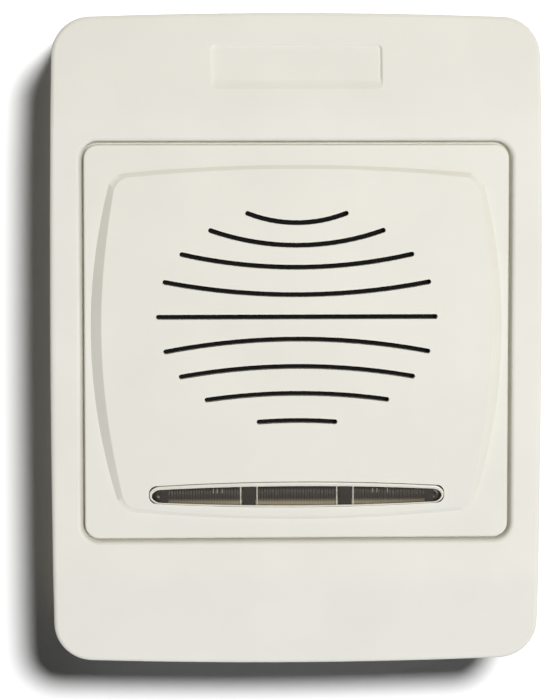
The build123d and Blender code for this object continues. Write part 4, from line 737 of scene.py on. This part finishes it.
def node_copy(node: str, name: str, finish: Finish) -> tuple[Piece, bmesh.types.BMesh]:
    """Copy a CAD node's mesh and merge its doubled points.

    Args:
        node: The CAD node.
        name: Name of the copy.
        finish: The finish.

    Returns:
        The copy, and its mesh opened for editing.
    """
    mesh = frame["nodes"][node].data.copy()
    mesh.materials.clear()
    mesh.materials.append(finish.material())
    work = bmesh.new()
    work.from_mesh(mesh)
    bmesh.ops.remove_doubles(work, verts=work.verts, dist=MERGE_DISTANCE)
    return placed(name, mesh), work


def shade_smooth(mesh: bpy.types.Mesh, angle: float) -> None:
    """Smooth the faces, but keep edges sharper than so many degrees."""
    mesh.polygons.foreach_set("use_smooth", np.full(len(mesh.polygons), True))
    mesh.set_sharp_from_angle(angle=math.radians(angle))


def smoothed_copy(node: str, finish: Finish) -> Piece:
    """Stand a copy of a CAD node in for it, with smooth curved faces.

    Flat areas are joined to one face each, and the normals follow the larger faces, so that flat
    areas shade flat up to their edges.

    Args:
        node: The CAD node.
        finish: The finish.

    Returns:
        The piece, which replaces the node and rides on its body.
    """
    source = frame["nodes"][node]
    piece, work = node_copy(node, f"{node}_dressed", finish)
    mesh = piece.data
    bmesh.ops.dissolve_limit(
        work,
        angle_limit=math.radians(FLAT_ANGLE),
        use_dissolve_boundaries=False,
        verts=work.verts,
        edges=work.edges,
    )
    work.to_mesh(mesh)
    work.free()
    if "custom_normal" in mesh.attributes:
        mesh.attributes.remove(mesh.attributes["custom_normal"])
    shade_smooth(mesh, CREASE_ANGLE)
    weighted = piece.modifiers.new("even_faces", "WEIGHTED_NORMAL")
    weighted.keep_sharp = True
    weighted.weight = 100
    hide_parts(node)
    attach(piece, source["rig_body"])
    return piece


def report(piece: Piece) -> Piece:
    """Log a finished piece and give it back."""
    log.info("%s: %d faces", piece.name, len(piece.data.polygons))
    return piece


# Sub-assemblies


@dataclass
class DressedNodes:
    """CAD nodes whose shape is right as it stands."""

    finishes: ClassVar[dict[str, Finish]] = {}

    def build(self) -> None:
        """Give each node a smooth copy with its finish."""
        for node, finish in self.finishes.items():
            report(smoothed_copy(node, finish))


class Enclosure(DressedNodes):
    """Casing, grille panel, rear cover and seal."""

    finishes = {
        "casing": Finish.CREAM_SHELL,
        "grille_panel": Finish.CREAM_PANEL,
        "rear_cover": Finish.CREAM_REAR,
        "rear_seal": Finish.BLACK_RUBBER,
    }


@dataclass
class StrobeLens:
    """The low strobe lens: a clear rim round a smoked ribbed body, plain blocks and two round ends."""

    datums: Datums
    length: float = 54.0 * MM
    height: float = 4.6 * MM
    bow: Pair = (0.4 * MM, 0.8 * MM)
    corner: float = 1.3 * MM
    outline_points: int = 480
    rim_top: float = 0.76 * MM
    rim_bottom: float = 0.34 * MM
    rim_side: float = 0.45 * MM
    inner_bow: Pair = (0.3 * MM, 0.64 * MM)
    inner_corner: float = 1.1 * MM
    body_half_middle: float = 1.78 * MM
    body_half_end: float = 1.3 * MM
    body_drop: float = 0.18 * MM
    body_thickness: float = 0.7 * MM
    body_recess: float = 0.06 * MM
    body_power: float = 0.7
    rib_relief: float = 0.08 * MM
    rib_samples: int = 8
    block_offset: float = 8.8 * MM
    block_half: Triple = (1.27 * MM, 0.9 * MM, 1.95 * MM)
    strip_offsets: Pair = (7.3 * MM, 10.3 * MM)
    strip_half: Triple = (0.13 * MM, 0.6 * MM, 1.9 * MM)
    cap_offset: float = 25.1 * MM
    cap_radius: float = 1.32 * MM
    cap_recess: float = 0.03 * MM
    cap_rise: float = 0.45 * MM
    cap_height: float = 1.3 * MM
    dish_depth: float = 0.16 * MM
    dish_radius: float = 0.55 * MM
    end_half: Triple = (0.8 * MM, 0.6 * MM, 1.36 * MM)
    # Painted glints: short pale marks at these x offsets in mm stand in for light bent by the clear lens
    painted_glints: tuple[float, ...] = (-15.3, -14.6, -13.7, 13.9, 14.7, 16.6)
    painted_glint_half: Triple = (0.1 * MM, 0.4 * MM, 0.42 * MM)
    painted_glint_height: float = 0.72 * MM

    def rim(self) -> Piece:
        """Build the clear rim.

        Each point is the mix (1 - s) outer + s inner of two bowed outlines, at the depth that the
        profile gives for s. The inner outline is lower and smaller than the outer one.

        Returns:
            The rim.
        """
        x0, z0 = self.datums.lens
        wide, high = self.length / 2, self.height / 2
        inset = (self.rim_top + self.rim_bottom) / 2
        outer = bowed_box((wide, high), self.bow, self.corner, self.outline_points)
        inner_half = (wide - self.rim_side, high - inset)
        inner = bowed_box(inner_half, self.inner_bow, self.inner_corner, self.outline_points)
        inner[:, 1] -= (self.rim_top - self.rim_bottom) / 2
        share = np.array([0.0, 0.0, 0.015, 0.06, 0.16, 0.5, 0.88, 0.97, 1.0, 1.0])[:, None]
        below = np.array([1.6, 0.25, 0.10, 0.03, 0.0, 0.0, 0.02, 0.08, 0.2, 1.6])[:, None] * MM
        flat = (1 - share[..., None]) * outer[None] + share[..., None] * inner[None]
        y = -(self.datums.lens_face - below) + 0 * flat[..., 0]
        points = np.stack([x0 + flat[..., 0], y, z0 + flat[..., 1]], -1)
        return closed_piece("lens_clear_rim", points, Finish.CLEAR_RIM, wrap_rows=True)

    def body(self) -> Piece:
        """Build the smoked ribbed body.

        Round each section at x the point goes to z = middle + h(x) c and depth = core + t s, where
        c and s are the cosine and sine raised to the body's power, and the front half stands out
        further by relief (1 + cos(2 pi x / pitch)) / 2. h falls from the middle to the ends as
        1 - u squared.

        Returns:
            The body.
        """
        x0, z0 = self.datums.lens
        reach = self.cap_offset
        x = np.linspace(-reach, reach, int(2 * reach / RIB_PITCH) * self.rib_samples + 1)
        u = x / reach
        half = self.body_half_end + (self.body_half_middle - self.body_half_end) * (1 - u**2)
        closing = np.ones_like(x)
        closing[0] = closing[-1] = 0.02
        drop = -self.body_drop * (0.5 + 0.5 * (1 - u**2))
        angle = np.linspace(0, 2 * np.pi, 40, endpoint=False)
        cosine, sine = (signed_power(wave(angle), self.body_power)[None] for wave in (np.cos, np.sin))
        rib = self.rib_relief * 0.5 * (1 + np.cos(2 * np.pi * x / RIB_PITCH))
        core = self.datums.lens_face - self.body_recess - self.rib_relief - self.body_thickness
        z = z0 + drop[:, None] + (half * closing)[:, None] * cosine
        bulge = self.body_thickness * sine + rib[:, None] * np.clip(sine, 0, 1)
        points = np.stack([x0 + x[:, None] + 0 * z, -(core + closing[:, None] * bulge), z], -1)
        return closed_piece("lens_ribbed_body", points, Finish.SMOKED_RIBS, open_ends=True)

    def block(self, name: str, place: Pair, half: Triple, recess: float, finish: Finish) -> Piece:
        """Build a block with soft edges, the form |x/a|^8 + |y/b|^8 + |z/c|^8 = 1.

        The point at longitude l and latitude t is (a C(t) C(l), b C(t) S(l), c S(t)), where C and S
        are the cosine and sine raised to 1/4 with their sign kept.

        Args:
            name: Name of the block.
            place: Offset to the right of the lens's middle, and height above it.
            half: Half sizes along X, Y and Z.
            recess: Distance of its front behind the lens's front.
            finish: The finish.

        Returns:
            The block.
        """
        latitude = np.linspace(-np.pi / 2, np.pi / 2, 17)[:, None]
        longitude = np.linspace(0, 2 * np.pi, 32, endpoint=False)[None, :]
        level = signed_power(np.cos(latitude), 0.25)
        front = self.datums.lens_face - recess
        x = self.datums.lens[0] + place[0] + half[0] * level * signed_power(np.cos(longitude), 0.25)
        y = -(front - half[1]) + half[1] * level * signed_power(np.sin(longitude), 0.25)
        z = self.datums.lens[1] + place[1] + half[2] * signed_power(np.sin(latitude), 0.25)
        return closed_piece(name, np.stack([x, y, z + 0 * longitude], -1), finish)

    def end_cap(self, name: str, side: int) -> Piece:
        """Build a round end: a turned dome with a shallow dish in its middle.

        Each point (r, d) of its section goes to (x + r cos a, -d, z + r sin a) for every angle a.

        Args:
            name: Name of the end.
            side: -1 for the left end and 1 for the right.

        Returns:
            The end.
        """
        front = self.datums.lens_face - self.cap_recess
        share = np.linspace(0, 1, 15)
        radius = self.cap_radius * np.sin(share * np.pi / 2)
        dish = self.dish_depth * np.exp(-((radius / self.dish_radius) ** 2))
        depth = front - self.cap_rise * (1 - np.cos(share * np.pi / 2)) - dish
        radius = np.append(radius, [self.cap_radius, 0.0])
        depth = np.append(depth, [front - self.cap_height] * 2)
        angle = np.linspace(0, 2 * np.pi, 48, endpoint=False)[:, None]
        x = self.datums.lens[0] + side * self.cap_offset + radius * np.cos(angle)
        z = self.datums.lens[1] - self.body_drop * 0.5 + radius * np.sin(angle)
        points = np.stack([x, -depth + 0 * angle, z], -1)
        return closed_piece(name, points, Finish.LENS_END, wrap_rows=True)

    def build(self) -> None:
        """Build the lens on the sounder and let it stand for the CAD lens."""
        pieces = [self.rim(), self.body()]
        z, end_z = -self.body_drop * 0.3, -self.body_drop * 0.5
        for side, word in ((-1, "left"), (1, "right")):
            place = (side * self.block_offset, z)
            name = f"lens_block_{word}"
            pieces.append(self.block(name, place, self.block_half, 0.03 * MM, Finish.LENS_BLOCK))
            for order, offset in enumerate(self.strip_offsets):
                name = f"lens_edge_{word}_{order}"
                pieces.append(self.block(name, (side * offset, z), self.strip_half, 0.0, Finish.LENS_EDGE))
            pieces.append(self.end_cap(f"lens_end_{word}", side))
            place = (side * (self.cap_offset - self.end_half[0]), end_z)
            name = f"lens_end_block_{word}"
            pieces.append(self.block(name, place, self.end_half, 0.04 * MM, Finish.LENS_BLOCK))
        # Painted glints near the top of the ribbed body
        for order, x in enumerate(self.painted_glints):
            name, place = f"lens_streak_{order}", (x * MM, self.painted_glint_height)
            pieces.append(self.block(name, place, self.painted_glint_half, 0.01 * MM, Finish.LENS_STREAK))
        for piece in pieces:
            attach(report(piece), "sounder")
        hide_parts("strobe_lens")


@dataclass
class SoundOutlet:
    """What lies behind the slots: the woven dust screen."""

    thread: float = 1.0 * MM
    thickness: float = 0.3 * MM
    relief: float = 0.06 * MM
    margin: float = 0.02 * MM
    samples: int = 201

    def build(self) -> None:
        """Build the screen as a round woven sheet.

        A square grid (u, v) is mapped onto the disc by x = r u sqrt(1 - v v / 2) and
        z = r v sqrt(1 - u u / 2). Its depth waves by sin(pi x / thread) sin(pi z / thread), which
        lifts each crossing of two threads over the next. The grid's faces point back until they
        are flipped.
        """
        low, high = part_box("dust_screen")
        radius = (high[0] - low[0]) / 2 - self.margin
        x0, z0 = middle(low, high)
        side = np.linspace(-1, 1, self.samples)
        u, v = np.meshgrid(side, side, indexing="ij")
        x, z = radius * u * np.sqrt(1 - v**2 / 2), radius * v * np.sqrt(1 - u**2 / 2)
        wave = np.sin(np.pi * x / self.thread) * np.sin(np.pi * z / self.thread)
        points = np.stack([x0 + x, low[1] + self.relief + self.relief * wave, z0 + z], -1)
        faces = grid_faces(self.samples, self.samples, False, False)
        screen = mesh_piece("woven_screen", points, faces, Finish.BLACK_CLOTH)
        thick = screen.modifiers.new("thickness", "SOLIDIFY")
        thick.thickness = self.thickness - 2 * self.relief
        thick.offset = -1.0
        screen.data.flip_normals()
        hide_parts("dust_screen")
        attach(report(screen), "sounder")


@dataclass
class TamperSwitch:
    """The spring of the wall-sensing switch."""

    wire: float = 0.35 * MM
    turns: float = 2.75
    samples: int = 320
    sides: int = 12

    def build(self) -> None:
        """Wind the spring as a helix.

        The wire's middle is at radius r from the axis and climbs in depth in proportion to its angle,
        except over its first and last quarter turn, which lie flat against their seats.
        """
        low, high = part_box("tamper_spring")
        x0, z0 = middle(low, high)
        radius = (high[0] - low[0]) / 2 - self.wire / 2
        start, end = -high[1] + self.wire / 2, -low[1] - self.wire / 2
        share = np.linspace(0, 1, self.samples)
        flat = 0.5 / self.turns
        climb = np.clip((share - flat * 0.5) / (1 - flat), 0, 1)
        angle = share * self.turns * 2 * np.pi
        x, z = x0 + radius * np.cos(angle), z0 + radius * np.sin(angle)
        path = np.stack([x, -(start + (end - start) * climb), z], -1)
        spring = tube_piece("tamper_spring_wire", path, self.wire / 2, Finish.SCREW_STEEL, self.sides)
        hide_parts("tamper_spring")
        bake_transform(report(spring))


@dataclass
class Suspension:
    """The loudspeaker's surround and spider, in sectors that bend between the cone and the basket.

    Neighbours share a border at the same angle from their middle lines. Each ring has a finish, and the
    widths that are glued to the cone and to the basket.
    """

    datums: Datums
    sectors: int = 12
    crease: float = 40.0
    rings: dict[str, tuple[Finish, float, float]] = field(
        default_factory=lambda: {
            "speaker_surround": (Finish.SURROUND, 1.2 * MM, 1.6 * MM),
            "speaker_spider": (Finish.SPIDER, 0.5 * MM, 1.0 * MM),
        }
    )

    def sector(self, node: str, finish: Finish, number: int) -> Piece:
        """Cut one sector out of a copy of a ring and close its two cuts.

        Args:
            node: The ring's CAD node.
            finish: The finish.
            number: Which sector, counted from 0.

        Returns:
            The sector.
        """
        piece, work = node_copy(node, f"{node}_sector_{number}", finish)
        centre = Vector((self.datums.speaker[0], 0.0, self.datums.speaker[1]))
        step = 2 * math.pi / self.sectors
        for turn, side in ((number * step, -1.0), ((number + 1) * step, 1.0)):
            outward = Vector((-math.sin(turn), 0.0, math.cos(turn))) * side
            parts = work.verts[:] + work.edges[:] + work.faces[:]
            bmesh.ops.bisect_plane(work, geom=parts, plane_co=centre, plane_no=outward, clear_outer=True)
            fill_rims(work)
        work.to_mesh(piece.data)
        work.free()
        shade_smooth(piece.data, self.crease)
        return piece

    def build(self) -> None:
        """Build both rings as sectors that run outward from the cone to the basket."""
        for node, (finish, inner_lap, outer_lap) in self.rings.items():
            points = np.empty(len(frame["nodes"][node].data.vertices) * 3)
            frame["nodes"][node].data.vertices.foreach_get("co", points)
            for number in range(self.sectors):
                piece = self.sector(node, finish, number)
                if not number:
                    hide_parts(node)
                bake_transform(report(piece))


class LampUnit(DressedNodes):
    """The lamps behind the lens and what holds them."""

    finishes = {
        "light_shroud": Finish.BLACK_SHROUD,
        "lamp_board": Finish.BOARD,
        "strobe_lamps": Finish.LAMP_BODY,
        "lamp_board_screws": Finish.SCREW_STEEL,
    }


class Loudspeaker(DressedNodes):
    """The loudspeaker without its suspension, and its clamps."""

    finishes = {
        "speaker_gasket": Finish.BLACK_FOAM,
        "speaker_basket": Finish.BASKET,
        "speaker_magnet": Finish.FERRITE,
        "speaker_top_plate": Finish.ZINC,
        "speaker_yoke": Finish.ZINC,
        "speaker_cone": Finish.CONE,
        "speaker_dust_cap": Finish.CONE,
        "voice_coil": Finish.WINDING,
        "speaker_terminals": Finish.BRASS,
        "speaker_clamps": Finish.ZINC,
        "speaker_screws": Finish.SCREW_STEEL,
    }


class Electronics(DressedNodes):
    """Wires, plugs, main board, terminals and tamper switch."""

    finishes = {
        "speaker_wires": Finish.WIRE_RED,
        "lamp_wires": Finish.WIRE_BLACK,
        "speaker_plug": Finish.NYLON,
        "lamp_plug": Finish.NYLON,
        "speaker_header": Finish.NYLON,
        "lamp_header": Finish.NYLON,
        "main_board": Finish.BOARD,
        "board_screws": Finish.SCREW_STEEL,
        "capacitors": Finish.CAN_SLEEVE,
        "choke": Finish.FERRITE,
        "amplifier_chip": Finish.CHIP,
        "controller_chip": Finish.CHIP,
        "board_small_parts": Finish.CHIP,
        "terminal_block": Finish.TERMINAL,
        "terminal_contacts": Finish.BRASS,
        "tamper_switch": Finish.CHIP,
        "tamper_plunger": Finish.NYLON,
    }


class WallSide(DressedNodes):
    """The rear cover's screws and what stays on the wall."""

    finishes = {
        "rear_cover_screws": Finish.SCREW_STEEL,
        "back_plate": Finish.CREAM_REAR,
        "cable_grommet": Finish.BLACK_RUBBER,
        "lock_screw": Finish.SCREW_STEEL,
    }


class Terminals(DressedNodes):
    """The moving pieces of the six terminals."""

    finishes = {
        f"terminal_{part}_{number}": finish
        for number in range(1, 7)
        for part, finish in (("screw", Finish.SCREW_STEEL), ("clamp", Finish.ZINC))
    }


# Camera and light


def toward(across: float, up: float) -> Vector:
    """Direction so many radians to the right of straight in front, and so many up."""
    return Vector((math.sin(across) * math.cos(up), -math.cos(across) * math.cos(up), math.sin(up)))


@dataclass(frozen=True)
class Lamp:
    """An oval lamp that looks at the sounder.

    Its direction is in degrees to the right of straight in front and degrees up, its distance and
    size in metres and its power in watts. linking is "INCLUDE" for a lamp that lights the wall
    alone, and "EXCLUDE" for one that lights everything else.
    """

    name: str
    direction: Pair
    distance: float
    size: Pair
    power: float
    colour: Colour = (1.0, 1.0, 1.0)
    linking: str = "EXCLUDE"

    def build(self, wall: Piece) -> None:
        """Add the lamp.

        Args:
            wall: The wall that the linking is about.
        """
        light = bpy.data.lights.new(self.name, "AREA")
        light.shape = "ELLIPSE"
        light.size, light.size_y = self.size
        light.energy = self.power
        light.color = self.colour
        holder = placed(self.name, light)
        place = toward(*(math.radians(angle) for angle in self.direction))
        holder.location = place * self.distance
        holder.rotation_euler = (-place).to_track_quat("-Z", "Y").to_euler()
        lit = bpy.data.collections.new(f"{self.name}_lights")
        lit.objects.link(wall)
        lit.collection_objects[0].light_linking.link_state = self.linking
        holder.light_linking.receiver_collection = lit


@dataclass
class Studio:
    """Camera, lamps, world and the pale wall behind the sounder."""

    distance: float = 0.62
    elevation: float = 5.0
    azimuth: float = -2.3
    sensor: float = 36.0
    frame_height: float = 0.1285
    aim: Triple = (-0.00295, -0.0320, -0.0018)
    wall_half: float = 1.5
    wall_gap: float = 0.3 * MM
    wall_tones: Pair = (0.28, 0.56)
    ambient: float = 0.04
    lamps: tuple[Lamp, ...] = (
        Lamp("wall_lamp", (10.4, 16.2), 1.5, (0.28, 0.24), 46.0, linking="INCLUDE"),
        Lamp("key_lamp", (14.0, 5.0), 1.5, (0.6, 0.6), 17.6),
        Lamp("rear_lamp", (180.0, 6.0), 2.5, (0.5, 0.5), 34.0),
        Lamp("right_fill", (90.0, 5.0), 0.8, (0.5, 0.5), 1.6, (1.0, 0.97, 0.88)),
        Lamp("left_fill", (-90.0, 5.0), 0.8, (0.5, 0.5), 0.8, (1.0, 0.95, 0.82)),
        Lamp("low_fill", (0.0, -62.0), 0.8, (0.5, 0.5), 1.7, (0.88, 0.96, 1.16)),
        Lamp("high_fill", (0.0, 90.0), 0.8, (0.5, 0.5), 1.6, (1.0, 0.97, 0.88)),
    )

    def add_camera(self) -> None:
        """Put the camera in front and a little above, as far away as the photograph's taper asks."""
        camera = bpy.data.cameras.new("camera")
        camera.sensor_width = self.sensor
        camera.lens = self.sensor * self.distance / self.frame_height
        camera.clip_start = 0.01
        eye = placed("camera", camera)
        aim = Vector(self.aim)
        away = toward(math.radians(self.azimuth), math.radians(self.elevation))
        eye.location = aim + away * self.distance
        eye.rotation_euler = (aim - eye.location).to_track_quat("-Z", "Y").to_euler()
        bpy.context.scene.camera = eye

    def add_wall(self) -> Piece:
        """Add the pale wall, seen only from its front; the rear lamp shines through it.

        Returns:
            The wall.
        """
        half, gap = self.wall_half, self.wall_gap
        corners = [(-half, gap, -half), (half, gap, -half), (half, gap, half), (-half, gap, half)]
        mesh = bpy.data.meshes.new("pale_wall")
        mesh.from_pydata(corners, [], [(0, 1, 2, 3)])
        wall = placed("pale_wall", mesh)
        material = bpy.data.materials.new("pale_wall")
        material.use_nodes = True
        tree = material.node_tree
        tree.nodes.clear()
        seen = add_node(tree, "LightPath", {}).outputs["Is Camera Ray"]
        low, high = self.wall_tones
        tone = add_node(tree, "MapRange", {"To Min": low, "To Max": high, "Value": seen})
        paint = add_node(tree, "BsdfDiffuse", {"Color": tone.outputs["Result"]}).outputs["BSDF"]
        clear = add_node(tree, "BsdfTransparent", {}).outputs["BSDF"]
        behind = add_node(tree, "NewGeometry", {}).outputs["Backfacing"]
        mix = add_node(tree, "MixShader", {"Fac": behind, 1: paint, 2: clear})
        add_node(tree, "OutputMaterial", {"Surface": mix.outputs["Shader"]})
        mesh.materials.append(material)
        wall.visible_shadow = False
        return wall

    def set_world(self) -> None:
        """Make the surroundings white to the camera and in reflections, and dim as a light."""
        world = bpy.data.worlds.new("surroundings")
        bpy.context.scene.world = world
        world.use_nodes = True
        tree = world.node_tree
        tree.nodes.clear()
        path = add_node(tree, "LightPath", {})
        white = path.outputs["Is Camera Ray"]
        for kind in ("Is Transmission Ray", "Is Glossy Ray"):
            either = add_node(tree, "Math", {0: white, 1: path.outputs[kind]})
            either.operation = "MAXIMUM"
            white = either.outputs["Value"]
        dim, bright = (
            add_node(tree, "Background", {"Strength": strength}).outputs["Background"]
            for strength in (self.ambient, 1.0)
        )
        mix = add_node(tree, "MixShader", {"Fac": white, 1: dim, 2: bright})
        add_node(tree, "OutputWorld", {"Surface": mix.outputs["Shader"]})

    def build(self) -> None:
        """Set up everything round the sounder."""
        self.add_camera()
        wall = self.add_wall()
        for lamp in self.lamps:
            lamp.build(wall)
        self.set_world()
        bpy.context.scene.view_settings.view_transform = "Standard"


def main() -> None:
    """Build the sounder's sub-assemblies in order and log each piece."""
    logging.basicConfig(level=logging.INFO, format="%(name)s %(message)s")
    Studio().build()
    datums = Datums.read()
    Enclosure().build()
    StrobeLens(datums).build()
    SoundOutlet().build()
    TamperSwitch().build()
    Suspension(datums).build()
    for group in (LampUnit, Loudspeaker, Electronics, WallSide, Terminals):
        group().build()


if __name__ == "__main__":
    main()
